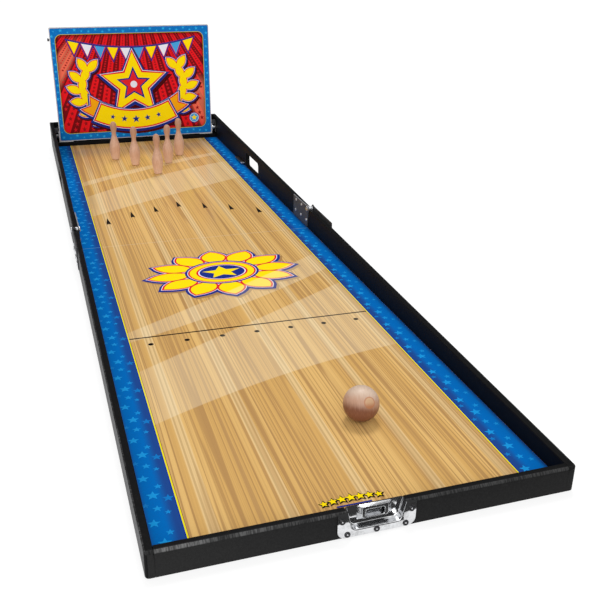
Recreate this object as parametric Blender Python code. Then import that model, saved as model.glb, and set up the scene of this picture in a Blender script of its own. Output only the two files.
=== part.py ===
# Folding tabletop carnival bowling game: a diagonally split plywood case that
# opens into one long lane, with a fold-down sign, five pins and a ball.
# Metres, +Z up. The origin is on the ground under the middle of the fold line,
# +Y runs down the lane from the player to the pins and +X is the player's right.

import math

import bmesh
import bpy
from mathutils import Matrix, Vector

# Case
CASE_WIDTH = 0.610
CASE_LENGTH = 2.337
CLOSED_THICKNESS = 0.127
FRONT_RIM = 0.041
WALL = 0.0125
FLOOR = 0.009
PANEL = 0.0021
SEAM = 0.001
RIM_GAP = 0.001
FIT = 0.0003
EDGE_ROUND = 0.0012
CORNER_ROUND = 0.0055
OVERRUN = 0.004

# Carrying holes in the far side walls
HANDLE_FROM_BACK = 0.596
HANDLE_LENGTH = 0.152
HANDLE_HEIGHT = 0.043
HANDLE_BOTTOM = 0.015
HANDLE_ROUND = 0.010

# Pivot hinges at the fold
HINGE_SHEET = 0.002
HINGE_INNER_LENGTH = 0.118
HINGE_OUTER_LENGTH = 0.144
HINGE_LOBE = 0.010
HINGE_PIN_RADIUS = 0.0035
HINGE_SLEEVE_RADIUS = 0.0062
HINGE_HEAD_RADIUS = 0.0068
HINGE_HEAD_HEIGHT = 0.0024
HINGE_RUNNING = 0.0003
HINGE_PLATE_LOW = 0.014
HINGE_SHOULDER = 0.0075
HINGE_FALL = 0.0015
HINGE_ROW_LOW = 0.018
HINGE_ROW_HIGH = 0.0475
HINGE_ROW_FIRST = 0.0065
HINGE_ROW_PITCH = 0.046
HINGE_ROW_SHIFT = 0.0045
NOTCH_CLEARANCE = 0.0012

# Rivets
RIVET_RADIUS = 0.0042
RIVET_HEIGHT = 0.0018

# Sign
SIGN_SIDE_GAP = 0.016
SIGN_HEIGHT = 0.390
SIGN_BOTTOM = 0.027
SIGN_SETBACK = 0.054
SIGN_BOARD = 0.011
SIGN_SHEET = 0.0008
SIGN_CORNER = 0.0045
SIGN_SHEET_MARGIN = 0.0025
SIGN_PIVOT_UP = 0.019
SIGN_PIVOT_RADIUS = 0.004
SIGN_PIVOT_DEPTH = 0.014
SIGN_COLLAR_RADIUS = 0.007
SHOE_SHEET = 0.002
SHOE_LENGTH = 0.046
SHOE_TAB = 0.036
BRACKET_SHEET = 0.002
BRACKET_LOW = 0.030
BRACKET_HIGH = 0.074
BRACKET_LIP_LOW = 0.056
BRACKET_LIP_REACH = 0.024
KNOB_RADIUS = 0.0055
KNOB_LENGTH = 0.007
KNOB_BELOW_TOP = 0.040

# Batten in front of the pit and the ledge that guides the folded sign
BATTEN_AHEAD = 0.0085
BATTEN_DEPTH = 0.0165
BATTEN_TOP = 0.0235
LEDGE_PAST_TIP = 0.0676
LEDGE_LENGTH = 0.088
LEDGE_WIDTH = 0.0105
LEDGE_SHEET = 0.0034
LEDGE_UP = 0.005

# Recessed case latch, keeper half on the front wall, turning half on the back
LATCH_WIDTH = 0.112
LATCH_SHEET = 0.0016
LATCH_FLANGE_ROUND = 0.012
KEEPER_HEIGHT = 0.0395
TURNING_HEIGHT = 0.063
TRAY_HALF_TOP = 0.041
TRAY_HALF_BOTTOM = 0.0365
TRAY_BORDER = 0.0105
TRAY_ROUND = 0.009
TRAY_SHEET = 0.0014
CATCH_WIDTH = 0.040
CATCH_HEIGHT = 0.0205
CATCH_TAPER = 0.003
CATCH_DEPTH = 0.0056
CATCH_SHEET = 0.0015
WINDOW_WIDTH = 0.027
WINDOW_HEIGHT = 0.011
WINDOW_ROUND = 0.003
WINDOW_BELOW_RIM = 0.006
SPINDLE_BELOW_RIM = 0.029
SPINDLE_RADIUS = 0.0035
CAM_RADIUS = 0.0058
CAM_THICKNESS = 0.0016
WING_HALF = 0.020
WING_HEIGHT = 0.015
WING_SHEET = 0.0020
WING_WAIST = 0.007
HOOK_HALF = 0.011
HOOK_SHEET = 0.0020
HOOK_EYE = 0.0062
HOOK_NIB = 0.0032
HOOK_NIB_THICK = 0.0028
HOOK_HEEL = 0.011
HOOK_TILT = math.radians(9)

# Pins and ball
PIN_HEIGHT = 0.127
PIN_BASE_RADIUS = 0.012
PIN_BELLY_RADIUS = 0.017
PIN_NECK_RADIUS = 0.0075
PIN_HEAD_RADIUS = 0.0105
BALL_RADIUS = 0.0293
BALL_X = 0.076
BALL_FROM_FRONT = 0.2485
PIN_FRONT_AHEAD = 0.462
PIN_MIDDLE_X = 0.055
PIN_MIDDLE_AHEAD = 0.335
PIN_BACK_X = 0.109
PIN_BACK_AHEAD = 0.242

# Shares of a size
ROUND_SHARE = 0.5
DOMED_RIVET_SHARES = ((1.0, 0.33), (0.72, 0.84), (0.0, 1.0))
TUBULAR_RIVET_SHARES = ((1.0, 0.45), (0.86, 0.95), (0.6, 1.0), (0.42, 0.5), (0.0, 0.42))
PIN_HEAD_SHARE = 0.7
KNOB_NECK_SHARE = 0.6
KNOB_CROWN_SHARE = 0.7
KNOB_STEP_SHARES = (0.3, 0.4, 0.8)
HINGE_RIVET_SHARES = (0.16, 0.30, 0.44, 0.58, 0.70, 0.82, 0.92)

# Worked out from the sizes above
HALF_WIDTH = CASE_WIDTH / 2
HALF_LENGTH = CASE_LENGTH / 2
SEAM_HALF = SEAM / 2
INNER_X = HALF_WIDTH - WALL
INNER_Y = HALF_LENGTH - WALL
BACK_RIM = CLOSED_THICKNESS - RIM_GAP - FRONT_RIM
HINGE_HEIGHT = CLOSED_THICKNESS / 2
LANE_TOP = FLOOR + FIT + PANEL
SIGN_WIDTH = (INNER_X - SIGN_SIDE_GAP) * 2
SIGN_FACE_Y = INNER_Y - SIGN_SETBACK
SIGN_PIVOT_Z = SIGN_BOTTOM + SIGN_PIVOT_UP
BOARD_FRONT = SIGN_FACE_Y + SIGN_SHEET + FIT
BOARD_BACK = BOARD_FRONT + SIGN_BOARD
SIGN_PIVOT_Y = (BOARD_FRONT + BOARD_BACK) / 2
HALF_SIGN = SIGN_WIDTH / 2
BATTEN_START = SIGN_FACE_Y - BATTEN_AHEAD
SIGN_TIP_Y = SIGN_PIVOT_Y - (SIGN_HEIGHT - SIGN_PIVOT_UP)
HANDLE_CENTRE = HALF_LENGTH - HANDLE_FROM_BACK

ROUND_STEPS = 6
SMOOTH_ANGLE = math.radians(35)


def rim_height(y):
    """Height of the split line, straight from the front rim to the back rim."""
    share = (y + HALF_LENGTH) / CASE_LENGTH
    return FRONT_RIM + (BACK_RIM - FRONT_RIM) * share


def make_material(name, color, roughness, metallic=0.0):
    material = bpy.data.materials.new(name)
    material.use_nodes = True
    shader = material.node_tree.nodes["Principled BSDF"]
    shader.inputs["Base Color"].default_value = (*color, 1.0)
    shader.inputs["Roughness"].default_value = roughness
    shader.inputs["Metallic"].default_value = metallic
    material.diffuse_color = (*color, 1.0)
    return material


def make_axis(name, location):
    """An empty on a joint's axis, for the pieces that move about it."""
    empty = bpy.data.objects.new(name, None)
    bpy.context.collection.objects.link(empty)
    empty.location = location
    empty.empty_display_size = HINGE_LOBE
    return empty


def finish(name, bm, material, origin=(0.0, 0.0, 0.0), parent=None, smooth=False):
    """Turn a bmesh into an object whose origin is at the given point."""
    bmesh.ops.remove_doubles(bm, verts=bm.verts, dist=FIT / 100)
    bmesh.ops.recalc_face_normals(bm, faces=bm.faces)
    bmesh.ops.translate(bm, verts=bm.verts, vec=-Vector(origin))
    mesh = bpy.data.meshes.new(name)
    bm.to_mesh(mesh)
    bm.free()
    if smooth:
        mesh.shade_smooth()
        mesh.set_sharp_from_angle(angle=SMOOTH_ANGLE)
    item = bpy.data.objects.new(name, mesh)
    bpy.context.collection.objects.link(item)
    item.data.materials.append(material)
    item.location = Vector(origin)
    if parent is not None:
        bpy.context.view_layer.update()
        item.parent = parent
        item.matrix_parent_inverse = parent.matrix_world.inverted()
    return item


def along(axis, a, b, c):
    """A point from two outline coordinates and the distance along the axis."""
    return {"X": (c, a, b), "Y": (a, c, b), "Z": (a, b, c)}[axis]


def loft_into(bm, rings):
    """Join closed rings of points, each with as many points, and cap the ends."""
    rows = [[bm.verts.new(point) for point in ring] for ring in rings]
    count = len(rows[0])
    for lower, upper in zip(rows, rows[1:]):
        for i in range(count):
            j = (i + 1) % count
            bm.faces.new((lower[i], lower[j], upper[j], upper[i]))
    bm.faces.new(rows[0][::-1])
    bm.faces.new(rows[-1])


def prism_mesh(outline, axis, low, high):
    bm = bmesh.new()
    loft_into(bm, [[along(axis, a, b, c) for a, b in outline] for c in (low, high)])
    return bm


def prism(name, outline, axis, low, high, material, bevel=0.0, **place):
    """A flat outline carried straight along an axis, with softened edges."""
    bm = prism_mesh(outline, axis, low, high)
    item = finish(name, bm, material, **place)
    if bevel > 0:
        soften(item, bevel)
    return item


def soften(item, width):
    bevel = item.modifiers.new("soft edges", "BEVEL")
    bevel.width = width
    bevel.segments = 2
    bevel.limit_method = "ANGLE"
    bevel.angle_limit = SMOOTH_ANGLE


def box_outline(a_low, a_high, b_low, b_high):
    return [(a_low, b_low), (a_high, b_low), (a_high, b_high), (a_low, b_high)]


def arc(a, b, radius, start, end, steps=ROUND_STEPS):
    """Points round a centre, from one angle to another, in degrees."""
    points = []
    for i in range(steps + 1):
        angle = math.radians(start + (end - start) * i / steps)
        points.append((a + radius * math.cos(angle), b + radius * math.sin(angle)))
    return points


def rounded_outline(a_low, a_high, b_low, b_high, radius):
    return (arc(a_low + radius, b_low + radius, radius, 180, 270)
            + arc(a_high - radius, b_low + radius, radius, 270, 360)
            + arc(a_high - radius, b_high - radius, radius, 0, 90)
            + arc(a_low + radius, b_high - radius, radius, 90, 180))


def turned_mesh(profile, segments):
    """Revolve a profile of (radius, height) pairs round the Z axis."""
    bm = bmesh.new()
    verts = [bm.verts.new((radius, 0.0, height)) for radius, height in profile]
    edges = [bm.edges.new(pair) for pair in zip(verts, verts[1:])]
    bmesh.ops.spin(bm, geom=verts + edges, cent=(0, 0, 0), axis=(0, 0, 1),
                   angle=math.tau, steps=segments, use_merge=True)
    bmesh.ops.remove_doubles(bm, verts=bm.verts, dist=FIT / 100)
    bmesh.ops.recalc_face_normals(bm, faces=bm.faces)
    return bm


def facing(direction):
    """Rotation that takes +Z to a direction."""
    return Vector(direction).to_track_quat("Z", "Y").to_matrix().to_4x4()


def turned(name, profile, material, at, direction=(0, 0, 1), segments=24, **place):
    bm = turned_mesh(profile, segments)
    bmesh.ops.transform(bm, matrix=Matrix.Translation(at) @ facing(direction), verts=bm.verts)
    return finish(name, bm, material, origin=place.pop("origin", at), smooth=True, **place)


def add_rivets(item, places, direction, material, head_shares, parent=None):
    """Rivet heads, standing on a plate and fused with it."""
    profile = [(0, -FIT), (RIVET_RADIUS, -FIT)]
    profile += [(RIVET_RADIUS * across, RIVET_HEIGHT * up) for across, up in head_shares]
    heads = bmesh.new()
    for place in places:
        head = turned_mesh(profile, 12)
        bmesh.ops.transform(head, matrix=Matrix.Translation(place) @ facing(direction),
                            verts=head.verts)
        spare = bpy.data.meshes.new(item.name + "_head")
        head.to_mesh(spare)
        head.free()
        heads.from_mesh(spare)
        bpy.data.meshes.remove(spare)
    join(item, cutter_from(item.name + "_rivets", heads, material, parent))


def cut(item, cutter):
    """Take a hidden cutter away from a piece."""
    cutter.hide_render = True
    cutter.display_type = "WIRE"
    cutter.hide_viewport = False
    tool = item.modifiers.new("cut", "BOOLEAN")
    tool.operation = "DIFFERENCE"
    tool.solver = "EXACT"
    tool.object = cutter


def cutter_from(name, bm, material, parent=None):
    return finish(name + "_cutter", bm, material, parent=parent)


def join(item, other):
    """Fuse a hidden second body into a piece."""
    cut(item, other)
    item.modifiers[-1].name = "join"
    item.modifiers[-1].operation = "UNION"


def round_edges(bm, edges):
    bmesh.ops.bevel(bm, geom=edges, offset=CORNER_ROUND, segments=3, profile=ROUND_SHARE,
                    affect="EDGES")


def ease_edges(bm, is_joint):
    """Round every sharp edge a little, except where two walls butt together."""
    bmesh.ops.recalc_face_normals(bm, faces=bm.faces)
    sharp = [edge for edge in bm.edges
             if edge.calc_face_angle(0) > SMOOTH_ANGLE and not is_joint(edge)]
    bmesh.ops.bevel(bm, geom=sharp, offset=EDGE_ROUND, segments=2, profile=ROUND_SHARE,
                    affect="EDGES")


def build_side_wall(name, side, near, materials, parent=None):
    """One side wall of a half, its top edge on the slanting split line."""
    black = materials["case"]
    start, end = (-HALF_LENGTH, -SEAM_HALF) if near else (SEAM_HALF, HALF_LENGTH)
    corner = start if near else end
    outline = [(start, 0), (end, 0), (end, rim_height(end)), (start, rim_height(start))]
    low, high = sorted((side * INNER_X, side * HALF_WIDTH))
    bm = prism_mesh(outline, "X", low, high)
    # At the case's outer corner the upright edge and the end's top edge are rounded.
    tip = Vector((side * HALF_WIDTH, corner, rim_height(corner)))
    corner_vert = next(v for v in bm.verts if (v.co - tip).length < FIT)
    round_edges(bm, [edge for edge in corner_vert.link_edges
                     if abs(edge.other_vert(corner_vert).co.y - corner) < FIT])
    ease_edges(bm, lambda edge: all(abs(v.co.x - side * INNER_X) < FIT
                                    and abs(v.co.y - corner) < FIT for v in edge.verts))
    wall = finish(name, bm, black, origin=(side * INNER_X, (start + end) / 2, 0), parent=parent)
    notch = turned_mesh([(0, -WALL), (HINGE_SLEEVE_RADIUS + NOTCH_CLEARANCE, -WALL),
                         (HINGE_SLEEVE_RADIUS + NOTCH_CLEARANCE, WALL), (0, WALL)], 24)
    middle = side * (INNER_X + HALF_WIDTH) / 2
    bmesh.ops.transform(notch, verts=notch.verts,
                        matrix=Matrix.Translation((middle, 0, HINGE_HEIGHT)) @ facing((1, 0, 0)))
    cut(wall, cutter_from(name + "_hinge_notch", notch, black, parent))
    if not near:
        hole = rounded_outline(HANDLE_CENTRE - HANDLE_LENGTH / 2, HANDLE_CENTRE + HANDLE_LENGTH / 2,
                               HANDLE_BOTTOM, HANDLE_BOTTOM + HANDLE_HEIGHT, HANDLE_ROUND)
        cut(wall, cutter_from(name + "_handle", prism_mesh(hole, "X", low - OVERRUN, high + OVERRUN),
                              black))
    return wall


def tray_outline(rim, drop, grow=0.0, above=0.0):
    """Half of the latch's dish: sides that lean out to the rim, round lower corners."""
    bottom = rim - drop + TRAY_BORDER - grow
    half = TRAY_HALF_BOTTOM + grow
    top = TRAY_HALF_TOP + grow
    radius = TRAY_ROUND + grow
    left = arc(-half + radius, bottom + radius, radius, 180, 270)
    right = arc(half - radius, bottom + radius, radius, 270, 360)
    lean = (top - half) * above / (rim - bottom - radius)
    return ([(-top - lean, rim + above)] + left + right + [(top + lean, rim + above)])


def build_latch_tray(name, facing_y, rim, drop, material, parent=None):
    """Pressed tray of one latch half: a flange outside the wall and a dish through it."""
    face = facing_y * (HALF_LENGTH + FIT)
    outside = face + facing_y * LATCH_SHEET
    dish_floor = facing_y * (INNER_Y + FIT)
    half = LATCH_WIDTH / 2
    bottom = rim - drop
    flange = ([(-half, rim)] + arc(-half + LATCH_FLANGE_ROUND, bottom + LATCH_FLANGE_ROUND,
                                   LATCH_FLANGE_ROUND, 180, 270)
              + arc(half - LATCH_FLANGE_ROUND, bottom + LATCH_FLANGE_ROUND,
                    LATCH_FLANGE_ROUND, 270, 360) + [(half, rim)])
    tray = prism(name, flange, "Y", *sorted((face, outside)), material,
                 origin=(0, face, rim), parent=parent)
    outer = tray_outline(rim, drop, TRAY_SHEET)
    body = prism_mesh(outer, "Y", *sorted((face + facing_y * LATCH_SHEET / 2, dish_floor)))
    join(tray, cutter_from(name + "_body", body, material, parent))
    inner = tray_outline(rim, drop, 0.0, OVERRUN)
    hollow = prism_mesh(inner, "Y", *sorted((outside + facing_y * OVERRUN,
                                             dish_floor + facing_y * TRAY_SHEET)))
    cut(tray, cutter_from(name + "_hollow", hollow, material, parent))
    return tray


def build_end_wall(name, facing_y, rim, drop, materials, parent=None):
    """Front or back wall between the side walls, cut away round the latch tray."""
    black = materials["case"]
    outline = box_outline(-INNER_X + FIT, INNER_X - FIT, 0, rim)
    bm = prism_mesh(outline, "Y", *sorted((facing_y * INNER_Y, facing_y * HALF_LENGTH)))
    outer = facing_y * HALF_LENGTH
    round_edges(bm, [edge for edge in bm.edges
                     if all(abs(v.co.y - outer) < FIT and abs(v.co.z - rim) < FIT
                            for v in edge.verts)])
    ease_edges(bm, lambda edge: abs(edge.verts[0].co.x - edge.verts[1].co.x) < FIT)
    wall = finish(name, bm, black, origin=(0, facing_y * INNER_Y, 0), parent=parent)
    seat = prism_mesh(tray_outline(rim, drop, TRAY_SHEET + FIT, OVERRUN), "Y",
                      *sorted((facing_y * (INNER_Y - OVERRUN), facing_y * (HALF_LENGTH + OVERRUN))))
    cut(wall, cutter_from(name + "_tray_seat", seat, black, parent))
    return wall


def build_keeper(materials, parent):
    """Catch plate with its window, standing in the front tray."""
    chrome = materials["chrome"]
    rim = FRONT_RIM - FIT
    tray = build_latch_tray("keeper_tray", -1, rim, KEEPER_HEIGHT, chrome, parent)
    add_rivets(tray, latch_rivet_places(-1, rim, KEEPER_HEIGHT), (0, -1, 0), chrome,
               TUBULAR_RIVET_SHARES, parent)
    back = -(INNER_Y + FIT) - TRAY_SHEET - FIT
    front = back - CATCH_DEPTH
    low, high = rim - CATCH_HEIGHT, rim - FIT
    catch = finish("keeper_catch", catch_mesh(low, high, back, front, 0), chrome,
                   origin=(0, back, low), parent=parent)
    hollow = catch_mesh(low, high, back + FIT, front + CATCH_SHEET, CATCH_SHEET)
    cut(catch, cutter_from("keeper_catch_hollow", hollow, chrome, parent))
    top = rim - WINDOW_BELOW_RIM
    window = rounded_outline(-WINDOW_WIDTH / 2, WINDOW_WIDTH / 2, top - WINDOW_HEIGHT, top,
                             WINDOW_ROUND)
    cut(catch, cutter_from("keeper_catch_window",
                           prism_mesh(window, "Y", front - OVERRUN, front + OVERRUN),
                           chrome, parent))


def catch_mesh(low, high, back, front, inset):
    """Pressed boss of the catch: its sides and foot lean in from the back to the front."""
    rings = []
    for y, lean in ((back, 0), (front, CATCH_TAPER)):
        half = CATCH_WIDTH / 2 - lean - inset
        outline = rounded_outline(-half, half, low + lean + inset, high - inset,
                                  WINDOW_ROUND - inset / 2)
        rings.append([along("Y", a, b, y) for a, b in outline])
    bm = bmesh.new()
    loft_into(bm, rings)
    return bm


def latch_rivet_places(facing_y, rim, drop):
    """Three rivets along the flange's foot and one at each side, near the rim."""
    y = facing_y * (HALF_LENGTH + FIT + LATCH_SHEET)
    inset = RIVET_RADIUS + FIT
    foot = rim - drop + TRAY_BORDER / 2
    side = (LATCH_WIDTH / 2 + TRAY_HALF_TOP + TRAY_SHEET) / 2
    spread = LATCH_WIDTH / 2 - LATCH_FLANGE_ROUND - inset + RIVET_RADIUS / 2
    high = rim - LATCH_FLANGE_ROUND - FIT
    return [(-spread, y, foot), (0, y, foot), (spread, y, foot), (-side, y, high), (side, y, high)]


def build_turning_latch(materials):
    """Latch half on the back wall: tray, spindle with its wing, and the rocking hook."""
    chrome, steel = materials["chrome"], materials["steel"]
    rim = BACK_RIM - FIT
    tray = build_latch_tray("latch_tray", 1, rim, TURNING_HEIGHT, chrome)
    add_rivets(tray, latch_rivet_places(1, rim, TURNING_HEIGHT), (0, 1, 0), chrome,
               TUBULAR_RIVET_SHARES)

    spindle_z = BACK_RIM - SPINDLE_BELOW_RIM
    floor_y = INNER_Y + FIT + TRAY_SHEET
    outside = HALF_LENGTH + FIT + LATCH_SHEET
    wing_back = outside - FIT
    hook_back = floor_y + FIT + CATCH_DEPTH + FIT
    turn_axis = make_axis("latch_turn_axis", (0, floor_y, spindle_z))
    foot = floor_y + FIT
    stem = wing_back - FIT - foot
    cam = hook_back + HOOK_SHEET / 2 - foot
    cam_low, cam_high = cam - CAM_THICKNESS / 2, cam + CAM_THICKNESS / 2
    spindle = [(0, 0), (SPINDLE_RADIUS, 0), (SPINDLE_RADIUS, cam_low), (CAM_RADIUS, cam_low),
               (CAM_RADIUS, cam_high), (SPINDLE_RADIUS, cam_high), (SPINDLE_RADIUS, stem),
               (0, stem)]
    turned("latch_spindle", spindle, steel, (0, foot, spindle_z), (0, 1, 0), 24,
           parent=turn_axis)
    wing = []
    for side in (1, -1):
        wing += arc(side * (WING_HALF - WING_HEIGHT / 2), spindle_z, WING_HEIGHT / 2,
                    -90 if side > 0 else 90, 90 if side > 0 else 270, 8)
        wing.append((0, spindle_z + side * WING_WAIST / 2))
    prism("latch_wing", wing, "Y", wing_back, wing_back + WING_SHEET, chrome, bevel=FIT * 2,
          origin=(0, wing_back, spindle_z), parent=turn_axis)

    hook_front = hook_back + HOOK_SHEET
    # In the closed case the keeper stands upside down above the split line.
    window_low = CLOSED_THICKNESS - (FRONT_RIM - FIT - WINDOW_BELOW_RIM)
    nib_low = window_low + FIT
    nib_high = nib_low + HOOK_NIB_THICK
    top = nib_high + HOOK_SHEET / 2
    hook_axis = make_axis("hook_tilt_axis", (0, (hook_back + hook_front) / 2, spindle_z))
    plate = [(hook_back, spindle_z - HOOK_HEEL), (hook_front, spindle_z - HOOK_HEEL),
             (hook_front, top), (hook_back, top), (hook_back, nib_high),
             (hook_back - HOOK_NIB, nib_high), (hook_back - HOOK_NIB, nib_low),
             (hook_back, nib_low)]
    hook = prism("latch_hook", plate, "X", -HOOK_HALF, HOOK_HALF, steel,
                 origin=hook_axis.location, parent=hook_axis)
    eye = turned_mesh([(0, -OVERRUN), (HOOK_EYE, -OVERRUN), (HOOK_EYE, OVERRUN), (0, OVERRUN)], 24)
    bmesh.ops.transform(eye, verts=eye.verts,
                        matrix=Matrix.Translation(hook_axis.location) @ facing((0, 1, 0)))
    cut(hook, cutter_from("latch_hook_eye", eye, steel, hook_axis))
    # Open, the hook leans out, clear of the keeper's catch.
    hook_axis.rotation_euler = (-HOOK_TILT, 0, 0)


def hinge_outline(direction, length):
    """Plate that runs one way from the fold, with a lobe round the pivot."""
    reach = direction * length
    start = direction * (SEAM_HALF + HINGE_SHEET / 2)
    lobe = arc(0, HINGE_HEIGHT, HINGE_LOBE, 270 - direction * 40, 270 - direction * 180, 10)
    shoulder = HINGE_HEIGHT + HINGE_SHOULDER
    return ([(start, HINGE_PLATE_LOW)] + lobe
            + [(direction * HINGE_LOBE, shoulder), (reach, shoulder - HINGE_FALL),
               (reach, HINGE_PLATE_LOW)])


def hinge_rivets(direction, length):
    """Rivets as pairs of Y and Z: two rows on the inner plate, a zigzag on the outer one."""
    if direction > 0:
        low, high = HINGE_PLATE_LOW + HINGE_ROW_LOW, HINGE_PLATE_LOW + HINGE_ROW_HIGH
        row = [HINGE_ROW_FIRST + HINGE_ROW_PITCH * step for step in range(3)]
        # The pivot stands where the upper row would start.
        return [(y, low) for y in row] + [(y - HINGE_ROW_SHIFT, high) for y in row[1:]]
    low, high = HINGE_PLATE_LOW + RIVET_RADIUS * 2, FRONT_RIM
    levels = (low, high, (low + high) / 2, low, high, (low + high) / 2, low)
    return [(-length * share, level) for share, level in zip(HINGE_RIVET_SHARES, levels)]


def build_hinge(side, label, materials, near_axis):
    """Inner plate on the far half, outer plate on the near half, pin and sleeve."""
    dark, steel = materials["dark_steel"], materials["steel"]
    inner_x = side * (INNER_X - FIT)
    inner_face = inner_x - side * HINGE_SHEET
    outer_x = side * (HALF_WIDTH + FIT)
    outer_face = outer_x + side * HINGE_SHEET
    eye = HINGE_PIN_RADIUS + HINGE_RUNNING
    for name, direction, length, low, high, parent in (
            ("hinge_inner_plate_" + label, 1, HINGE_INNER_LENGTH, inner_x, inner_face, None),
            ("hinge_outer_plate_" + label, -1, HINGE_OUTER_LENGTH, outer_x, outer_face, near_axis)):
        plate = prism(name, hinge_outline(direction, length), "X", *sorted((low, high)), dark,
                      origin=(low, 0, HINGE_HEIGHT), parent=parent)
        hole = turned_mesh([(0, -OVERRUN), (eye, -OVERRUN), (eye, OVERRUN), (0, OVERRUN)], 24)
        bmesh.ops.transform(hole, verts=hole.verts,
                            matrix=Matrix.Translation((low, 0, HINGE_HEIGHT)) @ facing((1, 0, 0)))
        cut(plate, cutter_from(name + "_eye", hole, dark, parent))
        places = [(high, y, z) for y, z in hinge_rivets(direction, length)]
        add_rivets(plate, places, (-side * direction, 0, 0), dark, DOMED_RIVET_SHARES, parent)

    start = inner_face - side * FIT
    shank = abs(outer_face - inner_face) + FIT * 2
    head, radius = HINGE_HEAD_HEIGHT, HINGE_HEAD_RADIUS
    crown = radius * PIN_HEAD_SHARE
    profile = [(0, -head), (crown, -head), (radius, -head / 2), (radius, 0),
               (HINGE_PIN_RADIUS, 0), (HINGE_PIN_RADIUS, shank), (radius, shank),
               (radius, shank + head / 2), (crown, shank + head), (0, shank + head)]
    turned("hinge_pin_" + label, profile, steel, (start, 0, HINGE_HEIGHT), (side, 0, 0), 24)
    width = WALL - FIT * 2
    bore = HINGE_PIN_RADIUS + FIT
    sleeve = [(bore, 0), (HINGE_SLEEVE_RADIUS, 0), (HINGE_SLEEVE_RADIUS, width), (bore, width),
              (bore, 0)]
    turned("hinge_sleeve_" + label, sleeve, steel, (side * (INNER_X + FIT), 0, HINGE_HEIGHT),
           (side, 0, 0), 24)


def build_sign(materials):
    """Board, print sheet, corner shoes and side knob, on the sign's fold axis."""
    axis = make_axis("sign_fold_axis", (0, SIGN_PIVOT_Y, SIGN_PIVOT_Z))
    top = SIGN_BOTTOM + SIGN_HEIGHT
    board_outline = rounded_outline(-HALF_SIGN, HALF_SIGN, SIGN_BOTTOM, top, SIGN_CORNER)
    board = prism("sign_board", board_outline, "Y", BOARD_FRONT, BOARD_BACK, materials["board"],
                  origin=axis.location, parent=axis)
    bore = SIGN_PIVOT_RADIUS + FIT
    for side in (-1, 1):
        hole = turned_mesh([(0, 0), (bore, 0), (bore, SIGN_PIVOT_DEPTH + OVERRUN * 2),
                            (0, SIGN_PIVOT_DEPTH + OVERRUN * 2)], 20)
        start = side * (HALF_SIGN - SIGN_PIVOT_DEPTH - FIT)
        bmesh.ops.transform(hole, verts=hole.verts,
                            matrix=Matrix.Translation((start, SIGN_PIVOT_Y, SIGN_PIVOT_Z))
                            @ facing((side, 0, 0)))
        cut(board, cutter_from("sign_board_pivot", hole, materials["board"], axis))
    margin = SIGN_SHEET_MARGIN
    sheet = rounded_outline(-HALF_SIGN + margin, HALF_SIGN - margin, SIGN_BOTTOM + margin,
                            top - margin, SIGN_CORNER)
    prism("sign_print_sheet", sheet, "Y", SIGN_FACE_Y, SIGN_FACE_Y + SIGN_SHEET,
          materials["sign_red"], origin=axis.location, parent=axis)
    for side, label in ((-1, "left"), (1, "right")):
        build_shoe(side, label, materials, axis)
        build_sign_carrier(side, label, materials)
    knob_z = top - KNOB_BELOW_TOP
    neck, crown = KNOB_RADIUS * KNOB_NECK_SHARE, KNOB_RADIUS * KNOB_CROWN_SHARE
    first, second, third = (KNOB_LENGTH * share for share in KNOB_STEP_SHARES)
    profile = [(0, 0), (neck, 0), (neck, first), (KNOB_RADIUS, second), (KNOB_RADIUS, third),
               (crown, KNOB_LENGTH), (0, KNOB_LENGTH)]
    turned("sign_knob", profile, materials["dark_steel"],
           (-HALF_SIGN - FIT, SIGN_PIVOT_Y, knob_z), (-1, 0, 0), 16, parent=axis)


def build_shoe(side, label, materials, axis):
    """Steel angle round the sign's lower corner: a foot strip and a side tab."""
    inside = side * (HALF_SIGN + FIT)
    outside = inside + side * SHOE_SHEET
    foot_end = side * (HALF_SIGN - SHOE_LENGTH)
    low = SIGN_BOTTOM - FIT - SHOE_SHEET
    high = low + SHOE_TAB
    outline = [(foot_end, low), (outside, low), (outside, high), (inside, high),
               (inside, low + SHOE_SHEET), (foot_end, low + SHOE_SHEET)]
    shoe = prism("sign_shoe_" + label, outline, "Y", BOARD_FRONT, BOARD_BACK, materials["steel"],
                 origin=axis.location, parent=axis)
    bore = SIGN_PIVOT_RADIUS + FIT
    hole = turned_mesh([(0, -OVERRUN), (bore, -OVERRUN), (bore, OVERRUN), (0, OVERRUN)], 20)
    bmesh.ops.transform(hole, verts=hole.verts,
                        matrix=Matrix.Translation((inside, SIGN_PIVOT_Y, SIGN_PIVOT_Z))
                        @ facing((side, 0, 0)))
    cut(shoe, cutter_from("sign_shoe_bore_" + label, hole, materials["steel"], axis))


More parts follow.
